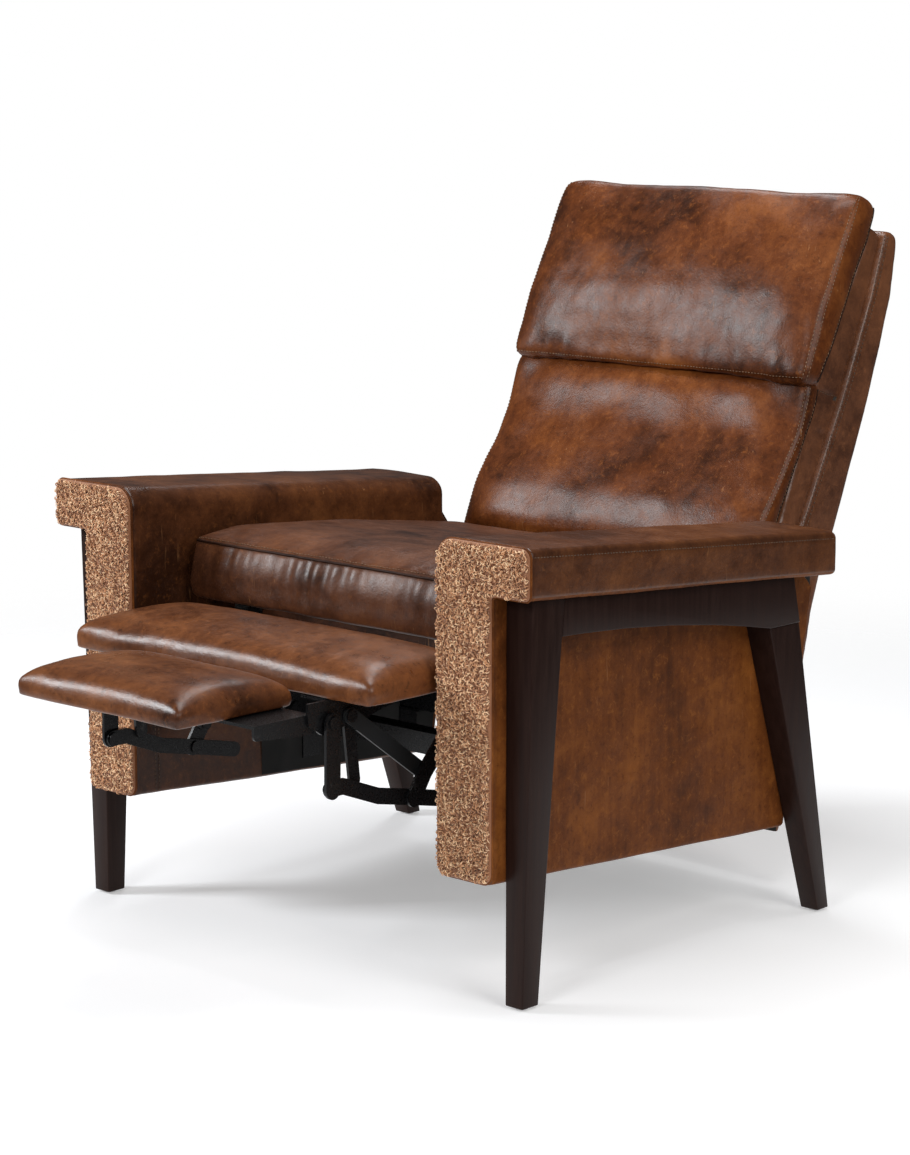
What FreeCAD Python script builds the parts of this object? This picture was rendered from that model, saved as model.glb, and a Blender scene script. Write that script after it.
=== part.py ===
import FreeCAD, Part
import math
import os

# Recliner armchair, modelled open: footrest out and back part reclined.
# X points to the sitter's left, -Y to the front and +Z up. Lengths are in mm.
# Profiles are (y, z) points. A third value is the corner radius.

# Arms
seat_gap_width = 554.0
arm_thick = 88.0
pad_overhang = 60.0
arm_front_y = -293.0
arm_rear_y = 310.0
arm_top_front_z = 571.0
arm_top_rear_z = 522.0
pad_thick_front = 62.0
pad_thick_rear = 57.0
arm_bottom_front_z = 157.0
arm_bottom_rear_z = 119.0
side_rear_bottom_y = 287.0
side_rear_top_y = 345.0
side_rear_drop = 5.0
facing_thick = 5.0
pad_inner_radius = 26.0
pad_outer_radius = 12.0
facing_corner_radius = 15.0

# Wood leg frames
leg_front_y = -265.0
front_leg_floor_depth = 29.0
front_leg_top_depth = 53.0
leg_floor_width = 28.0
leg_top_width = 42.0
top_rail_depth_front = 54.0
top_rail_depth_rear = 58.0
rail_arch = 9.0
rear_leg_floor_y = 326.0
rear_leg_floor_depth = 24.0
rear_leg_top_y = 195.0
rear_leg_top_depth = 61.0
glide_radius = 8.0
glide_height = 3.0

# Base under the seat
tube_size = 30.0
tube_z = 200.0
front_tube_y = 20.0
rear_tube_y = 215.0
bracket_leaf = 3.0
bracket_long = 40.0
hanger_front_y = -110.0
hanger_rear_y = 262.0
hanger_height = 45.0
swing_front_y = -60.0
swing_rear_y = 225.0
swing_low_z = 252.0
swing_length = 88.0
swing_width = 22.0

# Linkage plates
plate_thick = 4.0
plate_gap = 0.3
seat_plate_inset = 72.0
link_width = 20.0
pin_radius = 4.0
pin_clearance = 0.06
head_radius = 8.0
head_height = 2.5
open_pin_clearance = 3.2

# Footrest pivots, footrest out
lift_pivot = (-170.0, 330.0)
lift_upper = (-235.0, 261.0)
lift_lower = (-254.0, 232.0)
pad_pivot = (-360.0, 352.0)
riser_top = (-394.0, 349.0)
riser_bottom = (-395.0, 267.0)
lower_link_bend = (-313.0, 244.0)
lower_link_tail = (-184.0, 217.0)
lower_link_nose = (-373.0, 267.0)
bracket_leg_end = (-350.0, 270.0)

# Footrest pads
pad_a_side_gap = 6.0
pad_a_front_y = -399.0
pad_a_rear_y = -201.0
pad_a_bottom_z = 386.0
pad_a_edge = 23.0
pad_b_half_width = 150.0
pad_b_front_y = -595.0
pad_b_rear_y = -402.0
pad_b_bottom_z = 370.0
pad_b_edge = 20.0
pad_crown = 18.0
pad_corner_radius = 9.0
board_inset = 12.0
board_a_thick = 10.0
board_b_thick = 8.0
flange_thick = 4.0
flange_width = 46.0
front_shelf_reach = 32.0

# Seat
seat_side_gap = 5.0
seat_front_low_y = -209.0
seat_front_top_y = -187.0
spring_cushion_gap = 0.4
seat_front_top_z = 492.0
seat_crown_z = 513.0
seat_rear_y = 306.0
seat_rear_z = 498.0
rail_width = 31.0
rail_top_z = 412.0
rail_height = 30.0
rail_front_y = -140.0
rail_rear_y = 312.0
front_cross_rail_setback = 18.0
cross_rail_depth = 28.0
spring_wire_radius = 1.8
spring_seat_gap = 0.3
spring_bend_radius = 11.0
spring_half_width = 24.0
seat_spring_count = 5
back_spring_count = 4

# Back
back_hinge = (335.0, 430.0)
back_side_gap = 6.0
back_skin = 12.0
back_side_cover = 12.0
stile_width = 32.0
back_rail_height = 45.0
cushion_side_gap = 3.0
cushion_gap = 0.3
back_top_z = 880.0
back_profile_top_z = 880.0
headrest_low_z = 712.0
lumbar_top_z = 700.0
back_low_z = 452.0
lower_rail_z = 505.0
webbing_thick = 6.0
spring_sag = 3.0

arm_inner_x = seat_gap_width / 2
back_half_width = arm_inner_x - back_side_gap
pad_a_half_width = arm_inner_x - pad_a_side_gap
seat_plate_x = arm_inner_x - seat_plate_inset
arm_outer_x = arm_inner_x + arm_thick
overhang_x = arm_outer_x + pad_overhang
leg_top_z = arm_top_front_z - pad_thick_front
leg_ref_z = leg_top_z - top_rail_depth_front
rail_rear_under_z = arm_top_rear_z - pad_thick_rear - top_rail_depth_rear
seat_bottom_z = rail_top_z + spring_seat_gap + 2 * spring_wire_radius + spring_cushion_gap
pitch = plate_thick + plate_gap
lift_x = seat_plate_x - pitch
link_x = lift_x - pitch
bracket_x = link_x - pitch
front_bracket_x = bracket_x - pitch
swing_x = seat_plate_x + pitch
hanger_x = swing_x + pitch

def with_back_height(points):
    """The back's profile points, laid out for back_profile_top_z, with those above the hinge moved to suit back_top_z."""
    share = (back_top_z - back_hinge[1]) / (back_profile_top_z - back_hinge[1])
    return [(p[0], back_hinge[1] + (p[1] - back_hinge[1]) * share if p[1] > back_hinge[1] else p[1], *p[2:])
            for p in points]


# Outer line of the back from its top to its lower hem, and the front edge of its side band
back_outer = with_back_height([(648, 880), (635, 794), (614, 729), (580, 632), (517, 486), (485, 424),
                               (467, 375), (453, 312), (404, 71)])
band_front = with_back_height([(619, 889), (587, 798), (529, 668), (442, 499), (420, 440)])
headrest_front = with_back_height([(437, 702, 16), (474, 790, 60), (558, 940, 16), (606, 916, 14)])
lumbar_front = with_back_height([(326, back_low_z, 14), (354, 514, 60), (431, 622, 60), (456, 686, 14)])


def vec(x, y, z):
    return FreeCAD.Vector(x, y, z)


def line_z(a, b, y):
    """Height at y on the line through two (y, z) points."""
    return a[1] + (b[1] - a[1]) * (y - a[0]) / (b[0] - a[0])


def on_line(points, z):
    """The y of a top-to-bottom polyline at height z; its end stretches run on past it."""
    for a, b in zip(points, points[1:]):
        if z >= b[1]:
            break
    return a[0] + (b[0] - a[0]) * (z - a[1]) / (b[1] - a[1])


def outline_wire(points, place):
    """Closed wire through points, with an arc of the third value's radius at each corner."""
    flat = [vec(p[0], p[1], 0) for p in points]
    starts, mids, ends = [], [], []
    for i, corner in enumerate(flat):
        radius = points[i][2] if len(points[i]) > 2 else 0
        back_dir = (flat[i - 1] - corner).normalize()
        next_dir = (flat[(i + 1) % len(flat)] - corner).normalize()
        if radius == 0:
            starts.append(corner)
            mids.append(None)
            ends.append(corner)
            continue
        half = back_dir.getAngle(next_dir) / 2
        reach = radius / math.tan(half)
        bisector = (back_dir + next_dir).normalize()
        starts.append(corner + back_dir * reach)
        mids.append(corner + bisector * (radius / math.sin(half) - radius))
        ends.append(corner + next_dir * reach)
    edges = []
    for i in range(len(flat)):
        if mids[i] is not None:
            arc = Part.Arc(place(starts[i]), place(mids[i]), place(ends[i]))
            edges.append(arc.toShape())
        following = starts[(i + 1) % len(flat)]
        if ends[i].distanceToPoint(following) > 1e-6:
            edges.append(Part.LineSegment(place(ends[i]), place(following)).toShape())
    return Part.Wire(edges)


def side_solid(points, x0, x1):
    """A (y, z) profile extruded from x0 to x1."""
    wire = outline_wire(points, lambda p: vec(x0, p.x, p.y))
    return Part.Face(wire).extrude(vec(x1 - x0, 0, 0))


def front_solid(points, y0, y1):
    """An (x, z) profile extruded from y0 to y1."""
    wire = outline_wire(points, lambda p: vec(p.x, y0, p.y))
    return Part.Face(wire).extrude(vec(0, y1 - y0, 0))


def box(x0, x1, y0, y1, z0, z1):
    return Part.makeBox(x1 - x0, y1 - y0, z1 - z0, vec(x0, y0, z0))


def rod(point, x0, x1, radius):
    """A round bar along X at a (y, z) point."""
    return Part.makeCylinder(radius, x1 - x0, vec(x0, point[0], point[1]), vec(1, 0, 0))


def ruled(low, high):
    """A solid between two quadrilaterals given as lists of four corners."""
    faces = [Part.Face(Part.makePolygon(low + [low[0]])), Part.Face(Part.makePolygon(high + [high[0]]))]
    for i in range(4):
        j = (i + 1) % 4
        quad = [low[i], low[j], high[j], high[i], low[i]]
        faces.append(Part.makeFilledFace(Part.makePolygon(quad).Edges))
    solid = Part.makeSolid(Part.makeShell(faces))
    if solid.Volume < 0:
        solid.reverse()
    return solid


def link(points, x0, width=link_width):
    """A flat steel link that follows points, with round ends."""
    shape = None
    for a, b in zip(points, points[1:]):
        along = vec(0, b[0] - a[0], b[1] - a[1])
        length = along.Length
        turn = math.degrees(math.atan2(b[1] - a[1], b[0] - a[0]))
        bar = Part.makeBox(plate_thick, length, width, vec(x0, 0, -width / 2))
        bar.rotate(vec(0, 0, 0), vec(1, 0, 0), turn)
        bar.translate(vec(0, a[0], a[1]))
        piece = bar.fuse([rod(a, x0, x0 + plate_thick, width / 2), rod(b, x0, x0 + plate_thick, width / 2)])
        shape = piece if shape is None else shape.fuse(piece)
    return shape.removeSplitter()


def hole(shape, point, radius=pin_radius + pin_clearance):
    return shape.cut(rod(point, 0, 300, radius))


def pin(shape, point, x0, x1, heads=(False, True)):
    """Fuse a rivet from x0 to x1 onto a plate, with a head past either end."""
    shape = shape.fuse(rod(point, x0, x1, pin_radius))
    if heads[0]:
        shape = shape.fuse(rod(point, x0 - head_height, x0, head_radius))
    if heads[1]:
        shape = shape.fuse(rod(point, x1, x1 + head_height, head_radius))
    return shape.removeSplitter()


def mirrored(shape):
    return shape.mirror(vec(0, 0, 0), vec(1, 0, 0))


def spring(length):
    """One sinuous spring along +Y from the origin, bent side to side in X."""
    bends = max(2, int(length / (2 * spring_bend_radius)))
    radius = length / bends / 2
    reach = spring_half_width - radius
    edges = []
    side = 1
    for i in range(bends):
        y = 2 * i * radius
        end = vec(side * reach, y + 2 * radius, 0)
        far = vec(side * (reach + radius), y + radius, 0)
        edges.append(Part.Arc(vec(side * reach, y, 0), far, end).toShape())
        if i < bends - 1:
            edges.append(Part.LineSegment(end, vec(-side * reach, end.y, 0)).toShape())
        side = -side
    first = edges[0]
    start = first.FirstParameter
    ring = Part.makeCircle(spring_wire_radius, first.valueAt(start), first.tangentAt(start))
    return Part.Wire(edges).makePipeShell([Part.Wire([ring])], True, False)


def pad_bottom_z(y):
    rear_z = arm_top_rear_z - pad_thick_rear
    return line_z((arm_front_y, leg_top_z), (arm_rear_y, rear_z), y)


def arm_parts():
    """Upholstered side, top pad and front facing of the +X arm."""
    body_front_y = arm_front_y + facing_thick
    rear_pad_z = pad_bottom_z(arm_rear_y)
    body = side_solid([(body_front_y, arm_bottom_front_z), (body_front_y, pad_bottom_z(body_front_y)),
                       (arm_rear_y, rear_pad_z), (side_rear_top_y, rear_pad_z - side_rear_drop, 4),
                       (side_rear_bottom_y, arm_bottom_rear_z, 6)], arm_inner_x, arm_outer_x)
    pad = side_solid([(body_front_y, pad_bottom_z(body_front_y)), (body_front_y, arm_top_front_z),
                      (arm_rear_y, arm_top_rear_z, 14), (arm_rear_y, rear_pad_z, 5)],
                     arm_inner_x, overhang_x)
    tall = 200.0
    section = front_solid([(arm_inner_x, 0), (overhang_x, 0), (overhang_x, tall, pad_outer_radius),
                           (arm_inner_x, tall, pad_inner_radius)], 0, arm_rear_y - body_front_y)
    slope = math.atan2(arm_top_rear_z - arm_top_front_z, arm_rear_y - body_front_y)
    section.rotate(vec(0, 0, 0), vec(1, 0, 0), math.degrees(slope))
    section.translate(vec(0, body_front_y - tall * math.sin(-slope), arm_top_front_z - tall * math.cos(slope)))
    stretch = section.fuse(section.translated(vec(0, 8, 8 * math.tan(slope))))
    stretch = stretch.fuse(section.translated(vec(0, -20, -20 * math.tan(slope))))
    pad = pad.common(stretch).removeSplitter()
    facing = front_solid([(arm_inner_x, arm_bottom_front_z, facing_corner_radius),
                          (arm_inner_x, arm_top_front_z, pad_inner_radius),
                          (overhang_x, arm_top_front_z, pad_outer_radius),
                          (overhang_x, leg_top_z, 8), (arm_outer_x, leg_top_z, 6),
                          (arm_outer_x, arm_bottom_front_z, facing_corner_radius)],
                         arm_front_y, body_front_y)
    return {"arm_side": body, "arm_pad": pad, "arm_facing": facing}


def leg_width(z):
    return leg_floor_width + (leg_top_width - leg_floor_width) * z / leg_ref_z


def front_leg_back_y(z):
    depth = front_leg_floor_depth + (front_leg_top_depth - front_leg_floor_depth) * z / leg_ref_z
    return leg_front_y + depth


def rear_leg_line(z, top_y, floor_y):
    return floor_y + (top_y - floor_y) * z / rail_rear_under_z


def quad(x_width, z0, y0, z1, y1):
    """Four corners of a leg section that runs from (y0, z0) to (y1, z1)."""
    return [vec(arm_outer_x, y0, z0), vec(arm_outer_x + x_width(z0), y0, z0),
            vec(arm_outer_x + x_width(z1), y1, z1), vec(arm_outer_x, y1, z1)]


def wood_frame():
    """Front leg, rear leg and top rail of the +X side, with the glides under the legs."""
    low = glide_height
    back_top = (front_leg_back_y(leg_top_z), pad_bottom_z(front_leg_back_y(leg_top_z)))
    back_low = (front_leg_back_y(low), low)
    front_leg = ruled(quad(leg_width, low, leg_front_y, low, back_low[0]),
                      quad(leg_width, pad_bottom_z(leg_front_y), leg_front_y, back_top[1], back_top[0]))
    rear_top_end = rear_leg_top_y + rear_leg_top_depth
    rear_floor_end = rear_leg_floor_y + rear_leg_floor_depth
    under_z = rail_rear_under_z
    rear_leg = ruled(quad(leg_width, low, rear_leg_line(low, rear_leg_top_y, rear_leg_floor_y),
                          low, rear_leg_line(low, rear_top_end, rear_floor_end)),
                     quad(leg_width, under_z, rear_leg_top_y, under_z, rear_top_end))
    arch_start = (on_line([back_top, back_low], leg_ref_z), leg_ref_z)
    arch_end = (rear_leg_top_y, under_z)
    middle = ((arch_start[0] + arch_end[0]) / 2, (arch_start[1] + arch_end[1]) / 2 + rail_arch)
    x0 = arm_outer_x
    rear_tip_y = rear_leg_line(pad_bottom_z(rear_top_end), rear_top_end, rear_floor_end)
    arch = Part.Arc(vec(x0, *arch_start), vec(x0, *middle), vec(x0, *arch_end)).toShape()
    corners = [arch_end, (rear_top_end, under_z), (rear_tip_y, pad_bottom_z(rear_tip_y)), back_top, arch_start]
    edges = [arch]
    for a, b in zip(corners, corners[1:]):
        edges.append(Part.LineSegment(vec(x0, *a), vec(x0, *b)).toShape())
    rail = Part.Face(Part.Wire(edges)).extrude(vec(leg_width(leg_ref_z), 0, 0))
    glides = []
    for y in (leg_front_y + front_leg_floor_depth / 2, rear_leg_floor_y + rear_leg_floor_depth / 2):
        centre = vec(arm_outer_x + leg_floor_width / 2, y, 0)
        glides.append(Part.makeCylinder(glide_radius, glide_height, centre))
    return {"front_leg": front_leg, "rear_leg": rear_leg, "top_rail": rail}, glides


def base_parts():
    """Cross tubes between the arms and the +X hanger that carries the swing links."""
    top = tube_z + tube_size
    tubes = {}
    for name, y in (("front_cross_tube", front_tube_y), ("rear_cross_tube", rear_tube_y)):
        outer = box(-arm_inner_x, arm_inner_x, y, y + tube_size, tube_z, top)
        wall = 2.5
        inner = box(-arm_inner_x - 1, arm_inner_x + 1, y + wall, y + tube_size - wall, tube_z + wall, top - wall)
        tubes[name] = outer.cut(inner)
    hanger = side_solid([(hanger_front_y, top + 8), (hanger_front_y, top + hanger_height, 10),
                         (hanger_rear_y, top + hanger_height, 10), (hanger_rear_y, top),
                         (front_tube_y - 10, top)], hanger_x, hanger_x + plate_thick)
    foot = box(hanger_x + plate_thick, hanger_x + 24, front_tube_y, hanger_rear_y - 15, top, top + 3)
    hanger = hanger.fuse(foot).removeSplitter()
    for y in (swing_front_y, swing_rear_y):
        hanger = pin(hanger, (y, swing_low_z), swing_x, hanger_x, (True, False))
    brackets = []
    for y in (front_tube_y, rear_tube_y):
        leaf = box(arm_inner_x - bracket_leaf, arm_inner_x, y - 2, y + tube_size + 2,
                   tube_z - bracket_leaf - bracket_long, tube_z - bracket_leaf)
        shelf = box(arm_inner_x - bracket_long, arm_inner_x, y - 2, y + tube_size + 2,
                    tube_z - bracket_leaf, tube_z)
        brackets.append(leaf.fuse(shelf).removeSplitter())
    return tubes, hanger, brackets


def swing_link(y):
    """One upright link between the base hanger and the seat plate."""
    low, high = (y, swing_low_z), (y, swing_low_z + swing_length)
    return hole(hole(link([low, high], swing_x, swing_width), low), high)


def seat_plate():
    """Steel plate inside the +X seat rail that carries the whole linkage."""
    high = swing_low_z + swing_length
    top = rail_top_z - 6
    lower = side_solid([(lift_pivot[0] - 16, lift_pivot[1] - 16, 12), (lift_pivot[0] - 16, high + 20, 12),
                        (rail_front_y, top, 4), (rail_rear_y, top, 4),
                        (rail_rear_y, high - 16, 12)], seat_plate_x, seat_plate_x + plate_thick)
    ear = link([(back_hinge[0] - 40, back_hinge[1] - 60), back_hinge], seat_plate_x, 24)
    plate = lower.fuse(ear).removeSplitter()
    plate = hole(plate, back_hinge)
    plate = pin(plate, lift_pivot, lift_x, seat_plate_x, (True, False))
    for y in (swing_front_y, swing_rear_y):
        plate = pin(plate, (y, high), seat_plate_x + plate_thick, swing_x + plate_thick)
    return plate


def seat_frame():
    """Wood rails under the seat cushion and the springs across them."""
    low = rail_top_z - rail_height
    x0 = seat_plate_x + plate_thick
    side = box(x0, x0 + rail_width, rail_front_y, rail_rear_y, low, rail_top_z)
    half = seat_plate_x
    front_y = rail_front_y + front_cross_rail_setback
    front = box(-half, half, front_y, front_y + cross_rail_depth, low, rail_top_z)
    rear = box(-half, half, rail_rear_y - cross_rail_depth, rail_rear_y, low, rail_top_z)
    z = rail_top_z + spring_seat_gap + spring_wire_radius
    start = front_y + 8
    length = rail_rear_y - 8 - start
    step = 2 * (half - spring_half_width - 10) / (seat_spring_count - 1)
    springs = []
    for i in range(seat_spring_count):
        one = spring(length)
        one.translate(vec(-half + spring_half_width + 10 + i * step, start, z))
        springs.append(one)
    return side, {"seat_front_rail": front, "seat_rear_rail": rear}, springs


def seat_cushion():
    half = arm_inner_x - seat_side_gap
    profile = [(seat_front_low_y, seat_bottom_z, 10), (seat_front_top_y, seat_front_top_z, 12),
               (seat_front_top_y + 90, seat_crown_z - 2, 120), (60, seat_crown_z, 300),
               (seat_rear_y, seat_rear_z, 12), (seat_rear_y - 6, seat_bottom_z, 10)]
    return side_solid(profile, -half, half)


def pad_solid(half_width, y0, y1, z0, edge):
    """A footrest pad: square edge, crowned top."""
    middle = (y0 + y1) / 2
    top = z0 + edge
    body = side_solid([(y0, z0, 4), (y0, top, pad_corner_radius), (middle, top + pad_crown, 260),
                       (y1, top, pad_corner_radius), (y1, z0, 4)], -half_width, half_width)
    crown = front_solid([(-half_width, z0, 4), (-half_width, top, pad_corner_radius),
                         (-half_width * 0.6, top + pad_crown * 0.85, 120),
                         (half_width * 0.6, top + pad_crown * 0.85, 120),
                         (half_width, top, pad_corner_radius), (half_width, z0, 4)], y0 - 1, y1 + 1)
    return body.common(crown)


def footrest_links():
    """The moving plates of the +X side, footrest out, keyed by name."""
    lift = link([lift_pivot, lift_upper, lift_lower], lift_x, 24)
    lift = hole(lift, lift_pivot)
    lift = pin(lift, lift_upper, link_x, lift_x, (True, False))
    lift = pin(lift, lift_lower, link_x, lift_x, (True, False))
    upper = hole(hole(link([lift_upper, pad_pivot], link_x), lift_upper), pad_pivot)
    lower = link([lower_link_tail, lift_lower, lower_link_bend, lower_link_nose, riser_bottom], link_x)
    lower = hole(hole(lower, lift_lower), riser_bottom)
    riser = link([riser_bottom, riser_top], lift_x, 24)
    riser = pin(riser, riser_bottom, link_x, lift_x, (True, False))
    riser = hole(riser, riser_top, pin_radius + open_pin_clearance)
    flange_top = pad_a_bottom_z - board_a_thick
    pivot_y, pivot_z = pad_pivot
    top_y, top_z = riser_top
    rear_y = pad_a_rear_y - 31
    bracket = side_solid([(top_y - 34, flange_top), (top_y - 34, flange_top - 26, 8), (top_y - 10, top_z - 15, 12),
                          (top_y + 14, top_z - 15, 12), (pivot_y - 8, pivot_z - 12, 4),
                          (pivot_y + 10, pivot_z - 14, 8), (pivot_y + 60, pivot_z, 20),
                          (rear_y, pivot_z + 8, 8), (rear_y, flange_top)],
                         bracket_x, bracket_x + plate_thick)
    leg = link([pad_pivot, bracket_leg_end], bracket_x, 18)
    flange = box(bracket_x - flange_width, bracket_x, pad_a_front_y + 7, rear_y, flange_top - flange_thick, flange_top)
    bracket = bracket.fuse([leg, flange]).removeSplitter()
    bracket = pin(bracket, pad_pivot, bracket_x + plate_thick, link_x + plate_thick)
    spacer = rod(riser_top, bracket_x + plate_thick, lift_x - plate_gap, pin_radius + 2)
    bracket = bracket.fuse(spacer)
    bracket = pin(bracket, riser_top, front_bracket_x, lift_x + plate_thick, (True, True))
    front_top = pad_b_bottom_z - board_b_thick
    tip_y = pad_b_rear_y - 110
    arm = side_solid([(tip_y, front_top), (tip_y, front_top - 18, 5), (top_y - 46, front_top - 24, 10),
                      (top_y + 10, top_z - 11, 10), (top_y + 10, top_z + 11, 10), (top_y - 10, front_top)],
                     front_bracket_x, front_bracket_x + plate_thick)
    shelf = box(pad_b_half_width - front_shelf_reach, front_bracket_x, tip_y, pad_b_rear_y - 16,
                front_top - flange_thick, front_top)
    front = hole(arm.fuse(shelf).removeSplitter(), riser_top)
    return {"lift_link": lift, "upper_link": upper, "lower_link": lower, "riser_link": riser,
            "footrest_bracket": bracket, "front_pad_bracket": front}


def offset_line(points, distance):
    """Points moved square to their line, towards the front and down."""
    moved = []
    for i, point in enumerate(points):
        a = points[max(i - 1, 0)]
        b = points[min(i + 1, len(points) - 1)]
        along = vec(b[0] - a[0], b[1] - a[1], 0).normalize()
        moved.append((point[0] + along.y * distance, point[1] - along.x * distance))
    return moved


def part_of(points, z_top, z_low):
    """The stretch of a top-to-bottom polyline between two heights."""
    inside = [p for p in points if z_low < p[1] < z_top]
    return [(on_line(points, z_top), z_top)] + inside + [(on_line(points, z_low), z_low)]


def back_band(x0, x1, z_top, z_low):
    """What fills the back between its front line and its skin, between two heights."""
    front = part_of(band_front, z_top, z_low)
    rear = part_of(offset_line(back_outer, back_skin), z_top, z_low)
    return side_solid(front + rear[::-1], x0, x1)


def back_cushion(front, z_top, z_low):
    """A cushion whose rear lies just in front of the webbing."""
    half = back_half_width - cushion_side_gap
    rear = part_of(offset_line(band_front, webbing_thick + cushion_gap), z_top, z_low)
    return side_solid(front + [(p[0], p[1]) for p in rear], -half, half)


def back_parts():
    """Skin, wood frame, webbing, springs and cushions of the back, and the +X side pieces."""
    inner = offset_line(back_outer, back_skin)
    skin = side_solid(back_outer + inner[::-1], -back_half_width, back_half_width)
    x1 = back_half_width - back_side_cover
    cover = back_band(x1, back_half_width, back_top_z, back_low_z)
    x0 = x1 - stile_width
    rail_low_z = back_top_z - back_rail_height
    stile = back_band(x0, x1, rail_low_z, back_low_z)
    middle = {"back_top_rail": back_band(-x1, x1, back_top_z, rail_low_z),
              "back_lower_rail": back_band(-x0, x0, lower_rail_z + back_rail_height, lower_rail_z),
              "back_skin": skin}
    web = part_of(band_front, rail_low_z, back_low_z)
    middle["back_webbing"] = side_solid(web + offset_line(web, webbing_thick)[::-1], -x1, x1)
    middle["headrest_cushion"] = back_cushion(headrest_front, back_top_z, headrest_low_z)
    middle["lumbar_cushion"] = back_cushion(lumbar_front, lumbar_top_z, back_low_z)
    springs = []
    end_gap = depth = spring_wire_radius + spring_seat_gap
    for i in range(back_spring_count):
        z = lower_rail_z + 110 + i * (rail_low_z - lower_rail_z - 190) / (back_spring_count - 1)
        slope = math.atan2(on_line(band_front, z + 30) - on_line(band_front, z - 30), 60)
        one = spring(2 * (x0 - end_gap))
        one.rotate(vec(0, 0, 0), vec(0, 0, 1), -90)
        one.rotate(vec(0, 0, 0), vec(1, 0, 0), 90 - math.degrees(slope))
        one.translate(vec(-x0 + end_gap, on_line(band_front, z) + depth + spring_sag, z))
        springs.append(one)
    x = lift_x
    bracket = link([back_hinge, (back_hinge[0] + 105, back_hinge[1] + 2), (back_hinge[0] + 127, back_hinge[1] + 62)], x, 24)
    boss_at = (back_hinge[0] + 121, back_hinge[1] + 46)
    bracket = bracket.fuse(rod(boss_at, x, x0, 8)).removeSplitter()
    bracket = pin(bracket, back_hinge, x + plate_thick, seat_plate_x + plate_thick)
    return middle, {"back_side_cover": cover, "back_stile": stile, "back_bracket": bracket}, springs


def footrest_pads():
    """Cushions and boards of the footrest."""
    nodes = {}
    pad_a = (pad_a_half_width, pad_a_front_y, pad_a_rear_y, pad_a_bottom_z, pad_a_edge, board_a_thick)
    pad_b = (pad_b_half_width, pad_b_front_y, pad_b_rear_y, pad_b_bottom_z, pad_b_edge, board_b_thick)
    for name, (half, y0, y1, z0, edge, thick) in (("footrest", pad_a), ("front_pad", pad_b)):
        nodes[f"{name}_cushion"] = pad_solid(half, y0, y1, z0, edge)
        nodes[f"{name}_board"] = box(-half + board_inset, half - board_inset, y0 + board_inset,
                                     y1 - board_inset, z0 - thick, z0)
    return nodes


def add_pair(nodes, name, shape):
    nodes[f"{name}_left"] = shape
    nodes[f"{name}_right"] = mirrored(shape)


def build():
    nodes = {}
    for name, shape in arm_parts().items():
        add_pair(nodes, name, shape)
    frame, glides = wood_frame()
    for name, shape in frame.items():
        add_pair(nodes, name, shape)
    nodes["foot_glides"] = Part.makeCompound(glides + [mirrored(g) for g in glides])
    tubes, hanger, brackets = base_parts()
    nodes.update(tubes)
    add_pair(nodes, "swing_hanger", hanger)
    nodes["tube_brackets"] = Part.makeCompound(brackets + [mirrored(b) for b in brackets])
    add_pair(nodes, "front_swing_link", swing_link(swing_front_y))
    add_pair(nodes, "rear_swing_link", swing_link(swing_rear_y))
    add_pair(nodes, "seat_plate", seat_plate())
    rail, cross_rails, springs = seat_frame()
    add_pair(nodes, "seat_side_rail", rail)
    nodes.update(cross_rails)
    nodes["seat_springs"] = Part.makeCompound(springs)
    nodes["seat_cushion"] = seat_cushion()
    middle, sides, springs = back_parts()
    nodes.update(middle)
    nodes["back_springs"] = Part.makeCompound(springs)
    for name, shape in sides.items():
        add_pair(nodes, name, shape)
    for name, shape in footrest_links().items():
        add_pair(nodes, name, shape)
    nodes.update(footrest_pads())
    return nodes


os.makedirs("parts", exist_ok=True)
origin_y = (pad_b_front_y + back_outer[0][0]) / 2
for name, shape in build().items():
    shape.translated(vec(0, -origin_y, 0)).exportStep(f"parts/{name}.step")
    print(name, len(shape.Solids), shape.isValid(), round(shape.Volume / 1000, 1))
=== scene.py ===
import math

import bmesh
import bpy
import numpy as np
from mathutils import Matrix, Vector
from mathutils.bvhtree import BVHTree


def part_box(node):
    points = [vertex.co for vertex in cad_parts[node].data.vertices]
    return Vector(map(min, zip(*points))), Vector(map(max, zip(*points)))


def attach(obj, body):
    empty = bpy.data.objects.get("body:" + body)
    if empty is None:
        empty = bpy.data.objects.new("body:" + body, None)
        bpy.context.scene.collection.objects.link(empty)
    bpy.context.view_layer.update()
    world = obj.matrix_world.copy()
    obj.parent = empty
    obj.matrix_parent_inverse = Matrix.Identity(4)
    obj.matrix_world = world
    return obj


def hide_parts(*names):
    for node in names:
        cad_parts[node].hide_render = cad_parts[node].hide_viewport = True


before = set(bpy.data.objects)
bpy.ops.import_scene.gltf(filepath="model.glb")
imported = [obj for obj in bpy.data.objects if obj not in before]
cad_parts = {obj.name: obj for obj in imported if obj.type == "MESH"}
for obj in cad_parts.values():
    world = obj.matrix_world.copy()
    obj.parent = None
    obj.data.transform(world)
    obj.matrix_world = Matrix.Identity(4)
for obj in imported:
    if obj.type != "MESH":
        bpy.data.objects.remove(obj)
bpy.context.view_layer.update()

mm = 0.001
scene = bpy.context.scene

# The chair is laid out in mm with y = 0 near the middle of the arms; chairShift brings that to the frame
armFrontY = -293
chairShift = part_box("arm_facing_left")[0][1] - armFrontY * mm


def at(x, y, z):
    return Vector((x * mm, y * mm + chairShift, z * mm))


def newPiece(name, verts, faces, smooth=True):
    mesh = bpy.data.meshes.new(name)
    mesh.from_pydata([tuple(v) for v in verts], [], faces)
    mesh.validate()
    if smooth:
        mesh.polygons.foreach_set("use_smooth", [True] * len(mesh.polygons))
    piece = bpy.data.objects.new(name, mesh)
    scene.collection.objects.link(piece)
    return piece


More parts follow.
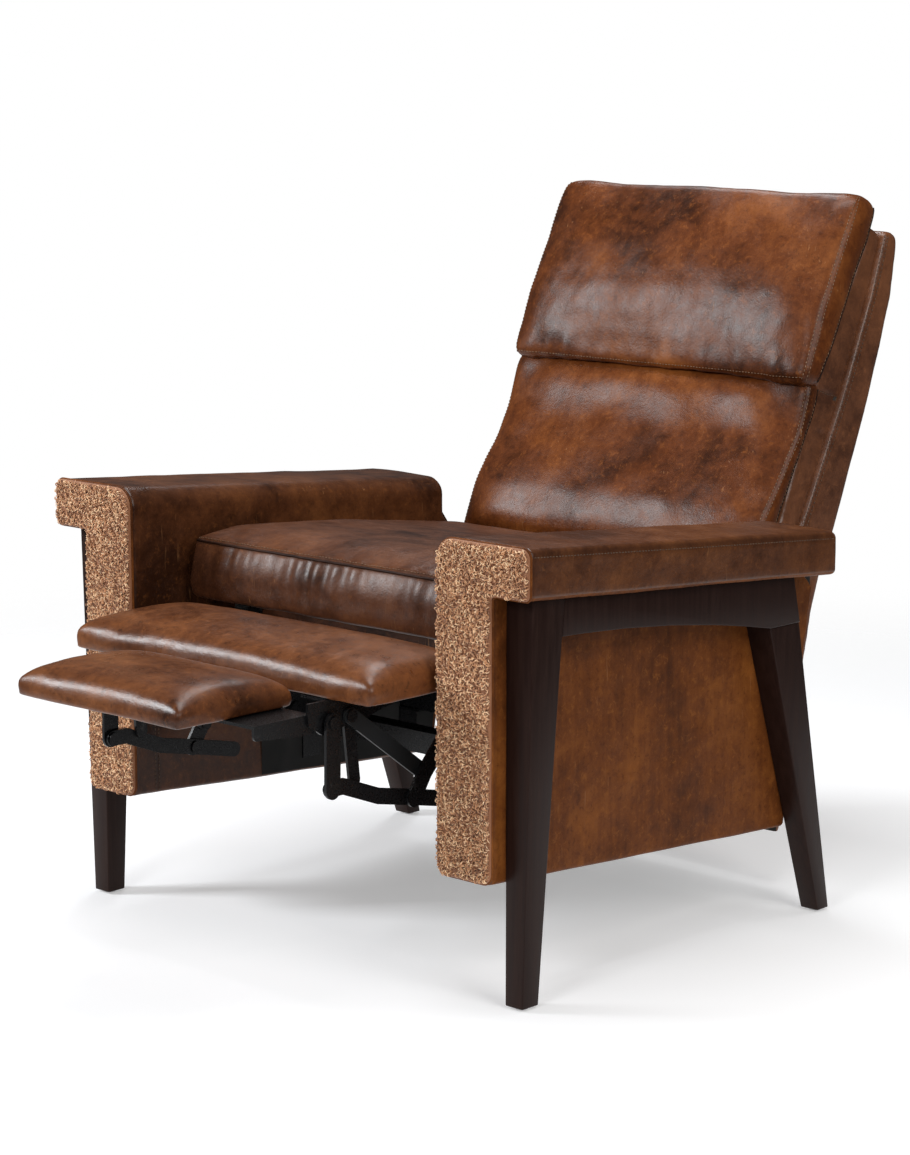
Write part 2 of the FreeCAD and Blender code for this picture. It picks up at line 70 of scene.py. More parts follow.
def bake(piece):
    # turns live modifiers into the piece's own plain mesh
    depsgraph = bpy.context.evaluated_depsgraph_get()
    mesh = bpy.data.meshes.new_from_object(piece.evaluated_get(depsgraph))
    piece.modifiers.clear()
    piece.data = mesh
    mesh.name = piece.name


def faceOutwards(piece):
    mesh = bmesh.new()
    mesh.from_mesh(piece.data)
    bmesh.ops.recalc_face_normals(mesh, faces=mesh.faces)
    mesh.to_mesh(piece.data)
    mesh.free()


def curveOf(name, rows):
    # each row of spots becomes one straight-sided spline
    curve = bpy.data.curves.new(name, "CURVE")
    curve.dimensions = "3D"
    for row in rows:
        spline = curve.splines.new("POLY")
        spline.points.add(len(row) - 1)
        for point, spot in zip(spline.points, row):
            point.co = (*spot, 1)
    holder = bpy.data.objects.new(name, curve)
    scene.collection.objects.link(holder)
    return holder


def plainPiece(name, holder):
    # the holder's evaluated shape, kept as a plain mesh in its place
    mesh = bpy.data.meshes.new_from_object(holder.evaluated_get(bpy.context.evaluated_depsgraph_get()))
    bpy.data.objects.remove(holder)
    piece = bpy.data.objects.new(name, mesh)
    scene.collection.objects.link(piece)
    return piece


def points(piece):
    flat = np.empty(len(piece.data.vertices) * 3)
    piece.data.vertices.foreach_get("co", flat)
    return flat.reshape(-1, 3)


def setPoints(piece, co):
    piece.data.vertices.foreach_set("co", np.ascontiguousarray(co).ravel())
    piece.data.update()


def normals(piece):
    flat = np.empty(len(piece.data.vertices) * 3)
    piece.data.vertex_normals.foreach_get("vector", flat)
    return flat.reshape(-1, 3)


def edgePairs(piece):
    flat = np.empty(len(piece.data.edges) * 2, dtype=int)
    piece.data.edges.foreach_get("vertices", flat)
    return flat.reshape(-1, 2)


def relax(piece, rounds, strength=0.5, hold=None):
    co = points(piece)
    pairs = edgePairs(piece)
    count = np.zeros(len(co))
    np.add.at(count, pairs[:, 0], 1)
    np.add.at(count, pairs[:, 1], 1)
    free = np.ones(len(co)) if hold is None else 1 - hold
    for step in range(rounds):
        total = np.zeros_like(co)
        np.add.at(total, pairs[:, 0], co[pairs[:, 1]])
        np.add.at(total, pairs[:, 1], co[pairs[:, 0]])
        co = co + (total / count[:, None] - co) * (strength * free)[:, None]
    setPoints(piece, co)


def wave(co, scale, seed):
    # smooth, repeatable unevenness between -1 and 1
    rng = np.random.default_rng(seed)
    total = np.zeros(len(co))
    weight = 0
    for octave in range(5):
        for k in range(3):
            direction = rng.normal(size=3)
            direction /= np.linalg.norm(direction)
            phase = rng.uniform(0, 2 * math.pi)
            frequency = 2 * math.pi / (scale * mm) * (1.5 ** octave) * rng.uniform(0.8, 1.2)
            share = 0.75 ** octave
            total += share * np.sin(co @ direction * frequency + phase)
            weight += share
    return total / weight * 1.7


def roundedOutline(corners, steps=6):
    # (y, z) corners, each with an optional radius, to a list of points
    flat = [Vector((c[0], c[1])) for c in corners]
    result = []
    for i, corner in enumerate(flat):
        radius = corners[i][2] if len(corners[i]) > 2 else 0
        if not radius:
            result.append(corner)
            continue
        before = (flat[i - 1] - corner).normalized()
        after = (flat[(i + 1) % len(flat)] - corner).normalized()
        half = before.angle(after) / 2
        reach = radius / math.tan(half)
        centre = corner + (before + after).normalized() * radius / math.sin(half)
        start = corner + before * reach - centre
        end = corner + after * reach - centre
        for k in range(steps + 1):
            sweep = start.angle(end)
            t = k / steps
            blend = (start * math.sin((1 - t) * sweep) + end * math.sin(t * sweep)) / math.sin(sweep)
            result.append(centre + blend)
    return result


def block(name, outline, x0, x1, edge=8, voxel=5, smoothing=6):
    # a (y, z) outline extruded along x, its rim rounded, then remeshed evenly
    ring = roundedOutline(outline)
    n = len(ring)
    verts = [at(x0, p[0], p[1]) for p in ring] + [at(x1, p[0], p[1]) for p in ring]
    faces = [list(range(n)), list(range(2 * n - 1, n - 1, -1))]
    faces += [[i, n + i, n + (i + 1) % n, (i + 1) % n] for i in range(n)]
    piece = newPiece(name, verts, faces)
    mesh = bmesh.new()
    mesh.from_mesh(piece.data)
    bmesh.ops.recalc_face_normals(mesh, faces=mesh.faces)
    rims = [e for e in mesh.edges if abs(e.verts[0].co.x - e.verts[1].co.x) < 1e-6]
    bmesh.ops.bevel(mesh, geom=rims, offset=edge * mm, segments=5, profile=0.5, affect="EDGES")
    mesh.to_mesh(piece.data)
    mesh.free()
    remesh = piece.modifiers.new("remesh", "REMESH")
    remesh.mode = "VOXEL"
    remesh.voxel_size = voxel * mm
    remesh.use_smooth_shade = True
    bake(piece)
    relax(piece, smoothing)
    return piece


def pathDistance(co, path):
    # distance from each point to a polyline, in metres
    best = np.full(len(co), 9.0)
    for a, b in zip(path, path[1:]):
        a, b = np.array(a), np.array(b)
        along = b - a
        t = np.clip(((co - a) @ along) / max(along @ along, 1e-12), 0, 1)
        best = np.minimum(best, np.linalg.norm(co - (a + t[:, None] * along), axis=1))
    return best


def inflate(piece, seams, settings):
    # air pressure in cloth, held along the seams; motion is capped
    start = points(piece)
    hold = np.zeros(len(start))
    for path in seams:
        hold = np.maximum(hold, np.exp(-(pathDistance(start, path) / (settings["holdWidth"] * mm)) ** 2))
    if "restsBelow" in settings:
        hold = np.maximum(hold, (normals(piece)[:, 2] < -0.7).astype(float))
    group = piece.vertex_groups.new(name="held")
    for i in np.nonzero(hold > 0.02)[0]:
        group.add([int(i)], float(hold[i]), "REPLACE")
    cloth = piece.modifiers.new("cloth", "CLOTH")
    cloth.settings.quality = 4
    cloth.settings.mass = 0.3
    cloth.settings.tension_stiffness = settings["stiffness"]
    cloth.settings.compression_stiffness = settings["stiffness"]
    cloth.settings.shear_stiffness = settings["stiffness"] / 3
    cloth.settings.bending_stiffness = settings["bending"]
    cloth.settings.use_pressure = True
    cloth.settings.uniform_pressure_force = settings["pressure"]
    cloth.settings.vertex_group_mass = "held"
    cloth.settings.shrink_min = -settings["slack"]
    cloth.settings.effector_weights.gravity = 0
    cloth.collision_settings.use_collision = False
    frames = settings["frames"]
    cloth.point_cache.frame_start = 1
    cloth.point_cache.frame_end = frames
    for step in range(1, frames + 1):
        scene.frame_set(step)
    depsgraph = bpy.context.evaluated_depsgraph_get()
    mesh = piece.evaluated_get(depsgraph).to_mesh()
    moved = np.empty(len(mesh.vertices) * 3)
    mesh.vertices.foreach_get("co", moved)
    piece.evaluated_get(depsgraph).to_mesh_clear()
    piece.modifiers.clear()
    piece.vertex_groups.clear()
    motion = moved.reshape(-1, 3) - start
    length = np.linalg.norm(motion, axis=1)
    cap = settings["cap"] * mm
    motion *= (cap * np.tanh(length / cap) / np.maximum(length, 1e-9))[:, None]
    setPoints(piece, start + motion)
    relax(piece, settings["smoothing"], 0.5, hold)
    scene.frame_set(1)


def press(piece, path, depth, width):
    # a sewn line: the skin dips along it
    co = points(piece)
    distance = pathDistance(co, path)
    dip = np.exp(-(distance / (width * mm)) ** 2)
    setPoints(piece, co - normals(piece) * (depth * mm * dip)[:, None])


def shade(piece, paths, width):
    # stores how near each point is to a seam, for the leather's darker lines
    co = points(piece)
    value = np.zeros(len(co))
    for path in paths:
        value = np.maximum(value, np.exp(-(pathDistance(co, path) / (width * mm)) ** 2))
    attribute = piece.data.attributes.new("seamShade", "FLOAT", "POINT")
    attribute.data.foreach_set("value", value)


def subdivide(piece):
    modifier = piece.modifiers.new("finish", "SUBSURF")
    modifier.levels = modifier.render_levels = 1
    bake(piece)


def onSurface(piece, path, spacing=6, lift=0.0):
    # a polyline laid on the piece's skin, with the skin's normals
    tree = BVHTree.FromObject(piece, bpy.context.evaluated_depsgraph_get())
    result = []
    for a, b in zip(path, path[1:]):
        steps = max(1, int((Vector(b) - Vector(a)).length / (spacing * mm)))
        for k in range(steps):
            spot, normal, index, distance = tree.find_nearest(Vector(a).lerp(Vector(b), k / steps))
            result.append((spot + normal * lift * mm, normal))
    spot, normal, index, distance = tree.find_nearest(Vector(path[-1]))
    result.append((spot + normal * lift * mm, normal))
    return result


def newMaterial(name, roughness):
    material = bpy.data.materials.new(name)
    material.use_nodes = True
    shader = material.node_tree.nodes["Principled BSDF"]
    shader.inputs["Roughness"].default_value = roughness
    return material, material.node_tree, shader


def addNode(tree, kind, inputs=None, **properties):
    node = tree.nodes.new(kind)
    for key, value in properties.items():
        setattr(node, key, value)
    for key, value in (inputs or {}).items():
        if isinstance(value, bpy.types.NodeSocket):
            tree.links.new(value, node.inputs[key])
        else:
            node.inputs[key].default_value = value
    return node


def noiseOf(tree, where, scale, detail=4, roughness=0.55, distortion=0.0):
    node = addNode(tree, "ShaderNodeTexNoise", {"Vector": where, "Scale": scale, "Detail": detail,
                                                "Roughness": roughness, "Distortion": distortion})
    return node.outputs["Fac"]


def stretched(tree, where, scale, turn=(0, 0, 0), shift=(0, 0, 0)):
    node = addNode(tree, "ShaderNodeMapping", {"Vector": where, "Scale": scale, "Rotation": turn,
                                               "Location": shift})
    return node.outputs["Vector"]


def mapped(tree, value, low, high, toLow=0.0, toHigh=1.0):
    node = addNode(tree, "ShaderNodeMapRange", {"Value": value, "From Min": low, "From Max": high,
                                                "To Min": toLow, "To Max": toHigh},
                   interpolation_type="SMOOTHSTEP")
    return node.outputs["Result"]


def blended(tree, factor, a, b):
    node = addNode(tree, "ShaderNodeMix", {"Factor": factor}, data_type="RGBA")
    for socket, value in ((node.inputs[6], a), (node.inputs[7], b)):
        if isinstance(value, bpy.types.NodeSocket):
            tree.links.new(value, socket)
        else:
            socket.default_value = (*value, 1)
    return node.outputs[2]


def objectPlace(tree):
    return addNode(tree, "ShaderNodeTexCoord").outputs["Object"]


def raised(tree, shader, height, strength, distance):
    bump = addNode(tree, "ShaderNodeBump", {"Height": height, "Strength": strength, "Distance": distance})
    tree.links.new(bump.outputs["Normal"], shader.inputs["Normal"])


def combined(tree, operation, a, b):
    node = addNode(tree, "ShaderNodeMath", {0: a, 1: b}, operation=operation)
    return node.outputs["Value"]


def weighted(tree, a, b, share):
    # a and b added together, a by its share and b by the rest
    return combined(tree, "ADD", combined(tree, "MULTIPLY", a, share), combined(tree, "MULTIPLY", b, 1 - share))


hide = {
    "dark": (0.0258, 0.0069, 0.0022), "middle": (0.1075, 0.0281, 0.0065), "light": (0.2838, 0.0897, 0.0191),
    "scuff": (0.52, 0.25, 0.10), "blotch": 4.2, "mottle": 22, "lightAmount": 0.75, "roughness": (0.34, 0.50),
    "streak": (90, 90, 7), "streakAmount": 0.0, "specular": 0.32, "shift": (0, 0, 0),
    "fleck": 0.42, "scratches": 0.3, "seamDarkness": 0.88, "blotchShare": 0.62,
    "fleckScale": 95, "hairScale": (330, 260, 16), "pebbleScale": 620, "pebbleShare": 0.35, "grainScale": 240,
    "grainBump": (0.34, 0.0007), "swellScale": 34, "swellBump": (0.16, 0.004),
}


def leather(name, **changes):
    look = {**hide, **changes}
    material, tree, shader = newMaterial(name, 0.4)
    shader.inputs["Specular IOR Level"].default_value = look["specular"]
    place = objectPlace(tree)
    where = stretched(tree, place, (1, 1, 1), shift=look["shift"])
    blotch = noiseOf(tree, where, look["blotch"], 5, 0.6, 0.5)
    mottle = noiseOf(tree, where, look["mottle"], 10, 0.76, 0.35)
    streak = noiseOf(tree, stretched(tree, where, look["streak"]), 1.0, 6, 0.6, 0.2)
    tone = weighted(tree, blotch, mottle, look["blotchShare"])
    tone = weighted(tree, streak, tone, look["streakAmount"])
    colour = blended(tree, mapped(tree, tone, 0.36, 0.52), look["dark"], look["middle"])
    rubbed = combined(tree, "MULTIPLY", mapped(tree, tone, 0.48, 0.68), look["lightAmount"])
    colour = blended(tree, rubbed, colour, look["light"])
    fleck = noiseOf(tree, stretched(tree, where, (1, 1, 1), shift=(3, 1, 2)), look["fleckScale"], 8, 0.8, 0.4)
    colour = blended(tree, mapped(tree, fleck, 0.52, 0.68, 0, look["fleck"]), colour, look["light"])
    colour = blended(tree, mapped(tree, fleck, 0.48, 0.33, 0, look["fleck"] * 1.3), colour, look["dark"])
    hair = stretched(tree, where, look["hairScale"], (0.35, 0.6, 0.3))
    patchy = mapped(tree, noiseOf(tree, stretched(tree, where, (1, 1, 1), shift=(7, 2, 5)), 11, 3), 0.50, 0.64)
    scratch = combined(tree, "MULTIPLY", mapped(tree, noiseOf(tree, hair, 1.0, 2, 0.5, 0.6), 0.66, 0.74), patchy)
    colour = blended(tree, combined(tree, "MULTIPLY", scratch, look["scratches"]), colour, look["scuff"])
    seam = addNode(tree, "ShaderNodeAttribute", attribute_name="seamShade").outputs["Fac"]
    colour = blended(tree, combined(tree, "MULTIPLY", seam, look["seamDarkness"]), colour, look["dark"])
    tree.links.new(colour, shader.inputs["Base Color"])
    low, high = look["roughness"]
    tree.links.new(mapped(tree, mottle, 0.35, 0.68, low, high), shader.inputs["Roughness"])
    pebble = addNode(tree, "ShaderNodeTexVoronoi", {"Vector": place, "Scale": look["pebbleScale"], "Randomness": 1.0},
                     feature="SMOOTH_F1").outputs["Distance"]
    grain = combined(tree, "ADD", combined(tree, "MULTIPLY", pebble, look["pebbleShare"]),
                     noiseOf(tree, place, look["grainScale"], 5, 0.6))
    grain = combined(tree, "SUBTRACT", grain, combined(tree, "MULTIPLY", scratch, 0.4))
    strength, distance = look["grainBump"]
    fine = addNode(tree, "ShaderNodeBump", {"Height": grain, "Strength": strength, "Distance": distance})
    strength, distance = look["swellBump"]
    swell = noiseOf(tree, place, look["swellScale"], 4, 0.5)
    soft = addNode(tree, "ShaderNodeBump", {"Height": swell, "Strength": strength, "Distance": distance,
                                            "Normal": fine.outputs["Normal"]})
    tree.links.new(soft.outputs["Normal"], shader.inputs["Normal"])
    return material


def espresso(name):
    material, tree, shader = newMaterial(name, 0.36)
    shader.inputs["Specular IOR Level"].default_value = 0.12
    place = objectPlace(tree)
    grain = noiseOf(tree, stretched(tree, place, (160, 160, 9)), 1.0, 6, 0.65, 0.3)
    pores = noiseOf(tree, stretched(tree, place, (900, 900, 40)), 1.0, 3, 0.6)
    colour = blended(tree, mapped(tree, grain, 0.35, 0.7), (0.0155, 0.0066, 0.0049), (0.0225, 0.0100, 0.0072))
    tree.links.new(colour, shader.inputs["Base Color"])
    tree.links.new(mapped(tree, grain, 0.3, 0.7, 0.32, 0.44), shader.inputs["Roughness"])
    raised(tree, shader, pores, 0.18, 0.0004)
    return material


def rawWood(name):
    material, tree, shader = newMaterial(name, 0.65)
    place = objectPlace(tree)
    grain = noiseOf(tree, stretched(tree, place, (9, 150, 150)), 1.0, 6, 0.6, 0.4)
    colour = blended(tree, mapped(tree, grain, 0.35, 0.68), (0.36, 0.22, 0.11), (0.58, 0.41, 0.24))
    tree.links.new(colour, shader.inputs["Base Color"])
    return material


def blackSteel(name, colour=(0.0055, 0.0055, 0.006), roughness=0.3, metallic=0.0):
    material, tree, shader = newMaterial(name, roughness)
    shader.inputs["Metallic"].default_value = metallic
    shader.inputs["Specular IOR Level"].default_value = 0.22
    place = objectPlace(tree)
    speck = noiseOf(tree, place, 420, 3, 0.6)
    worn = mapped(tree, noiseOf(tree, place, 55, 6, 0.7), 0.60, 0.78)
    tree.links.new(blended(tree, combined(tree, "MULTIPLY", worn, 0.35), colour, (0.09, 0.088, 0.085)),
                   shader.inputs["Base Color"])
    tree.links.new(mapped(tree, speck, 0.3, 0.7, roughness - 0.07, roughness + 0.12), shader.inputs["Roughness"])
    raised(tree, shader, speck, 0.12, 0.0003)
    return material


def wovenCloth(name, colour=(0.010, 0.0095, 0.009)):
    material, tree, shader = newMaterial(name, 0.9)
    place = objectPlace(tree)
    warp = addNode(tree, "ShaderNodeTexWave", {"Vector": place, "Scale": 320, "Distortion": 0.6},
                   bands_direction="X").outputs["Fac"]
    weft = addNode(tree, "ShaderNodeTexWave", {"Vector": place, "Scale": 320, "Distortion": 0.6},
                   bands_direction="DIAGONAL").outputs["Fac"]
    weave = combined(tree, "MULTIPLY", warp, weft)
    lighter = tuple(c * 2.2 for c in colour)
    tree.links.new(blended(tree, weave, colour, lighter), shader.inputs["Base Color"])
    raised(tree, shader, weave, 0.3, 0.0005)
    return material


def curlHide(name):
    material, tree, shader = newMaterial(name, 0.72)
    shader.inputs["Sheen Weight"].default_value = 0.25
    shader.inputs["Sheen Roughness"].default_value = 0.5
    place = objectPlace(tree)
    tint = addNode(tree, "ShaderNodeAttribute", attribute_name="curlTint").outputs["Fac"]
    patch = noiseOf(tree, place, 22, 4, 0.6)
    value = weighted(tree, tint, patch, 0.62)
    colour = blended(tree, mapped(tree, value, 0.15, 0.5), (0.24, 0.090, 0.034), (0.65, 0.31, 0.136))
    colour = blended(tree, mapped(tree, value, 0.5, 0.8), colour, (1.0, 0.69, 0.41))
    tree.links.new(colour, shader.inputs["Base Color"])
    raised(tree, shader, noiseOf(tree, place, 900, 3), 0.3, 0.0004)
    return material


def threadMaterial(name, light, dark):
    material, tree, shader = newMaterial(name, 0.6)
    place = objectPlace(tree)
    tree.links.new(blended(tree, mapped(tree, noiseOf(tree, place, 300, 3), 0.35, 0.65), dark, light),
                   shader.inputs["Base Color"])
    return material


finish = {
    "cushion": leather("cushionLeather", roughness=(0.31, 0.39), specular=0.2),
    "piping": leather("pipingLeather", dark=(0.010, 0.004, 0.0025), middle=(0.024, 0.009, 0.005),
                      light=(0.055, 0.02, 0.009), roughness=(0.5, 0.6), specular=0.12),
    "seat": leather("seatLeather", dark=(0.024, 0.0085, 0.0045), middle=(0.085, 0.029, 0.0125),
                    light=(0.20, 0.070, 0.022), lightAmount=0.6, roughness=(0.32, 0.46), specular=0.24,
                    shift=(0.4, 0.1, 0)),
    "pad": leather("footrestLeather", dark=(0.024, 0.0082, 0.004), middle=(0.095, 0.031, 0.0115),
                   light=(0.25, 0.086, 0.025), lightAmount=0.7, fleck=0.55, roughness=(0.27, 0.38), specular=0.28,
                   shift=(1.3, 0.2, 0.4)),
    "arm": leather("armLeather", dark=(0.024, 0.0075, 0.0030), middle=(0.080, 0.026, 0.0090),
                   light=(0.20, 0.070, 0.020), shift=(0.2, 0.9, 0.7), roughness=(0.28, 0.40), specular=0.28),
    "side": leather("sideLeather", dark=(0.052, 0.0145, 0.0035), middle=(0.125, 0.036, 0.0075),
                    light=(0.27, 0.090, 0.0175), streakAmount=0.16, fleck=0.5, scratches=0.16,
                    blotch=6.5, mottle=20, shift=(0.6, 0.5, 0.1), roughness=(0.44, 0.58), specular=0.1),
    # the shell's colours are the leather's own tone made lighter by a painted reflection of the right-hand lamp
    "shell": leather("shellLeather", dark=(0.06, 0.020, 0.0085), middle=(0.15, 0.054, 0.022),
                     light=(0.28, 0.105, 0.040), shift=(0.1, 0.3, 0.9), roughness=(0.28, 0.40), specular=0.42),
    "wood": espresso("espressoWood"),
    "rawWood": rawWood("rawBeech"),
    "steel": blackSteel("blackSteel"),
    "greySteel": blackSteel("greyPlate", (0.02, 0.021, 0.022), 0.38, 0.2),
    "brightSteel": blackSteel("brightSteel", (0.42, 0.42, 0.41), 0.28, 1.0),
    "liner": wovenCloth("blackLiner"),
    "web": wovenCloth("webbingCloth", (0.03, 0.026, 0.022)),
    "curl": curlHide("curledRoughout"),
    "thread": threadMaterial("waxedThread", (0.22, 0.125, 0.065), (0.10, 0.05, 0.026)),
    "darkThread": threadMaterial("darkThread", (0.12, 0.07, 0.04), (0.05, 0.03, 0.02)),
    "plastic": newMaterial("glidePlastic", 0.6)[0],
}
print("materials ready")


def dress(piece, material):
    piece.data.materials.clear()
    piece.data.materials.append(finish[material])


def settle(piece, body, material, nodes=()):
    if material:
        dress(piece, material)
    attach(piece, body)
    if nodes:
        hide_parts(*nodes)


stitch = {"pitch": 5.4, "length": 3.9, "radius": 0.62, "lift": 0.35}


def openTree(name, inputs, materialInput):
    tree = bpy.data.node_groups.new(name, "GeometryNodeTree")
    tree.interface.new_socket("Geometry", in_out="INPUT", socket_type="NodeSocketGeometry")
    for label, kind, value in inputs:
        socket = tree.interface.new_socket(label, in_out="INPUT", socket_type=kind)
        socket.default_value = value
    tree.interface.new_socket(materialInput, in_out="INPUT", socket_type="NodeSocketMaterial")
    tree.interface.new_socket("Geometry", in_out="OUTPUT", socket_type="NodeSocketGeometry")
    return tree, addNode(tree, "NodeGroupInput")


def closeTree(tree, geometry, material):
    real = addNode(tree, "GeometryNodeRealizeInstances", {"Geometry": geometry})
    soft = addNode(tree, "GeometryNodeSetShadeSmooth", {"Geometry": real.outputs["Geometry"]})
    painted = addNode(tree, "GeometryNodeSetMaterial", {"Geometry": soft.outputs["Geometry"], "Material": material})
    sink = addNode(tree, "NodeGroupOutput")
    tree.links.new(painted.outputs["Geometry"], sink.inputs["Geometry"])


def stitchTree():
    tree, source = openTree("stitchRow", [
        ("Pitch", "NodeSocketFloat", stitch["pitch"] * mm),
        ("Thread length", "NodeSocketFloat", stitch["length"] * mm),
        ("Thread radius", "NodeSocketFloat", stitch["radius"] * mm)], "Thread")
    even = addNode(tree, "GeometryNodeResampleCurve", {"Curve": source.outputs["Geometry"],
                                                       "Length": source.outputs["Pitch"]}, mode="LENGTH")
    bead = addNode(tree, "GeometryNodeMeshUVSphere", {"Segments": 6, "Rings": 4, "Radius": 1.0})
    size = addNode(tree, "ShaderNodeCombineXYZ", {"Y": source.outputs["Thread radius"],
                                                  "Z": source.outputs["Thread radius"]})
    half = addNode(tree, "ShaderNodeMath", {0: source.outputs["Thread length"], 1: 0.5}, operation="MULTIPLY")
    tree.links.new(half.outputs["Value"], size.inputs["X"])
    tangent = addNode(tree, "GeometryNodeInputTangent")
    turn = addNode(tree, "FunctionNodeAlignRotationToVector", {"Vector": tangent.outputs["Tangent"]}, axis="X")
    place = addNode(tree, "GeometryNodeInstanceOnPoints",
                    {"Points": even.outputs["Curve"], "Instance": bead.outputs["Mesh"],
                     "Rotation": turn.outputs["Rotation"], "Scale": size.outputs["Vector"]})
    closeTree(tree, place.outputs["Instances"], source.outputs["Thread"])
    return tree


stitchNodes = stitchTree()


def setInput(modifier, name, value):
    for socket in modifier.node_group.interface.items_tree:
        if socket.item_type == "SOCKET" and socket.in_out == "INPUT" and socket.name == name:
            modifier[socket.identifier] = value


def stitchRows(name, rows, body, thread="thread"):
    holder = curveOf(name, rows)
    modifier = holder.modifiers.new("stitches", "NODES")
    modifier.node_group = stitchNodes
    setInput(modifier, "Thread", finish[thread])
    settle(plainPiece(name, holder), body, None)


def seamOn(piece, path, offset=(0, 0, 0), lift=None):
    # the path of a row of stitches: moved sideways, then laid on the skin
    moved = [Vector(p) + Vector(offset) * mm for p in path]
    lift = stitch["lift"] if lift is None else lift
    return [spot for spot, normal in onSurface(piece, moved, lift=lift)]


def welt(name, path, radius, body, material):
    # a thin roll of leather sewn along a path
    holder = curveOf(name, [path])
    holder.data.bevel_depth = radius * mm
    holder.data.bevel_resolution = 2
    holder.data.use_fill_caps = True
    piece = plainPiece(name, holder)
    piece.data.polygons.foreach_set("use_smooth", [True] * len(piece.data.polygons))
    settle(piece, body, material)


# the floor, the lights and the camera

stage = {
    "eye": (2.818, -2.9975, 1.179), "turn": 43.14, "tilt": -10.10, "lens": 98.09,
    "floorSize": 5.0, "floorWhite": 0.76, "floorGlow": 0.37, "surround": 0.08,
}


def makeStage():
    camera = bpy.data.cameras.new("camera")
    camera.lens = stage["lens"]
    camera.sensor_width = 36
    camera.clip_end = 60
    viewer = bpy.data.objects.new("camera", camera)
    viewer.location = stage["eye"]
    viewer.rotation_euler = (math.radians(90 + stage["tilt"]), 0, math.radians(stage["turn"]))
    scene.collection.objects.link(viewer)
    scene.camera = viewer
    scene.view_settings.view_transform = "Standard"
    scene.view_settings.look = "None"

    world = bpy.data.worlds.new("surround")
    scene.world = world
    world.use_nodes = True
    tree = world.node_tree
    tree.nodes.clear()
    ray = addNode(tree, "ShaderNodeLightPath")
    seen = addNode(tree, "ShaderNodeBackground", {"Color": (1, 1, 1, 1), "Strength": 1.0})
    lit = addNode(tree, "ShaderNodeBackground", {"Color": (0.93, 0.96, 1, 1), "Strength": stage["surround"]})
    mix = addNode(tree, "ShaderNodeMixShader", {0: ray.outputs["Is Camera Ray"]})
    tree.links.new(lit.outputs[0], mix.inputs[1])
    tree.links.new(seen.outputs[0], mix.inputs[2])
    sink = addNode(tree, "ShaderNodeOutputWorld")
    tree.links.new(mix.outputs[0], sink.inputs["Surface"])

    # the floor thins out to the plain surround with distance
    half = stage["floorSize"]
    floor = newPiece("floor", [(-half, -half, 0), (half, -half, 0), (half, half, 0), (-half, half, 0)],
                     [(0, 1, 2, 3)], smooth=False)
    material, tree, shader = newMaterial("floorWhite", 0.9)
    white = stage["floorWhite"]
    shader.inputs["Base Color"].default_value = (white, white, white * 1.01, 1)
    shader.inputs["Specular IOR Level"].default_value = 0.1
    shader.inputs["Emission Color"].default_value = (1, 1, 1, 1)
    shader.inputs["Emission Strength"].default_value = stage["floorGlow"]
    place = objectPlace(tree)
    away = addNode(tree, "ShaderNodeVectorMath", {0: place}, operation="LENGTH").outputs["Value"]
    fade = mapped(tree, away, 1.1, 2.6, 1, 0)
    tree.links.new(fade, shader.inputs["Alpha"])
    floor.data.materials.append(material)


lamps = {
    "overhead": {"spot": (0.0, 0.1, 3.0), "aim": (0, 0, 0.45), "size": (2.0, 0.9), "power": 48, "tint": (1, 1, 1)},
    "key": {"spot": (-2.4, -2.3, 2.0), "aim": (0, 0, 0.6), "size": (0.8, 1.0), "power": 95, "tint": (0.94, 0.97, 1)},
    "right": {"spot": (3.0, -0.6, 2.2), "aim": (0.2, 0, 0.4), "size": (1.5, 1.6), "power": 48, "tint": (1, 0.99, 0.97)},
    "front": {"spot": (1.0, -3.4, 2.2), "aim": (0, 0, 0.5), "size": (1.0, 0.8), "power": 38, "tint": (0.98, 0.99, 1)},
    "rim": {"spot": (-1.5, 1.6, 3.0), "aim": (0, 0.3, 0.7), "size": (0.6, 0.8), "power": 16, "tint": (0.95, 0.97, 1)},
}


def makeLamps():
    for name, lamp in lamps.items():
        light = bpy.data.lights.new(name, "AREA")
        light.shape = "RECTANGLE"
        light.size, light.size_y = lamp["size"]
        light.energy = lamp["power"]
        light.color = lamp["tint"]
        holder = bpy.data.objects.new(name, light)
        holder.location = lamp["spot"]
        aim = Vector(lamp["aim"]) - Vector(lamp["spot"])
        holder.rotation_euler = aim.to_track_quat("-Z", "Y").to_euler()
        scene.collection.objects.link(holder)


makeStage()
makeLamps()
print("stage ready")


# the arms: one leather cover over pad and side, a curled facing, a welt between them

sides = {"left": 1, "right": -1}

arm = {
    "innerX": 277, "outerX": 365, "edgeX": 425, "frontY": -288, "padRearY": 310, "sideTopY": 345, "sideLowY": 287,
    "top": (571, 522), "under": (509, 465), "low": (157, 119), "corners": (7, 26, 10, 8, 3, 7),
    "rearRound": 8, "spacing": 8, "unevenness": 0.9, "crown": 1.6, "crownHalf": 74, "seamDrop": 5, "stitchDrop": 4.2,
    "turnDepth": 26, "seamY": (-286, 306), "innerSeamY": -250, "innerSeamZ": (160, 400),
}


def armHeight(name, y):
    front, rear = arm[name]
    span = arm["padRearY"] - arm["frontY"]
    return front + (rear - front) * (y - arm["frontY"]) / span


def armSection():
    bottom, under, top = arm["low"][0], arm["under"][0], arm["top"][0]
    a, b, c, d, e, f = arm["corners"]
    ring = roundedOutline([(arm["innerX"], bottom, a), (arm["innerX"], top, b), (arm["edgeX"], top, c),
                           (arm["edgeX"], under, d), (arm["outerX"], under, e), (arm["outerX"], bottom, f)], 7)
    even = []
    for p, q in zip(ring, ring[1:] + ring[:1]):
        steps = max(1, round((q - p).length / arm["spacing"]))
        even += [p.lerp(q, k / steps) for k in range(steps)]
    return even


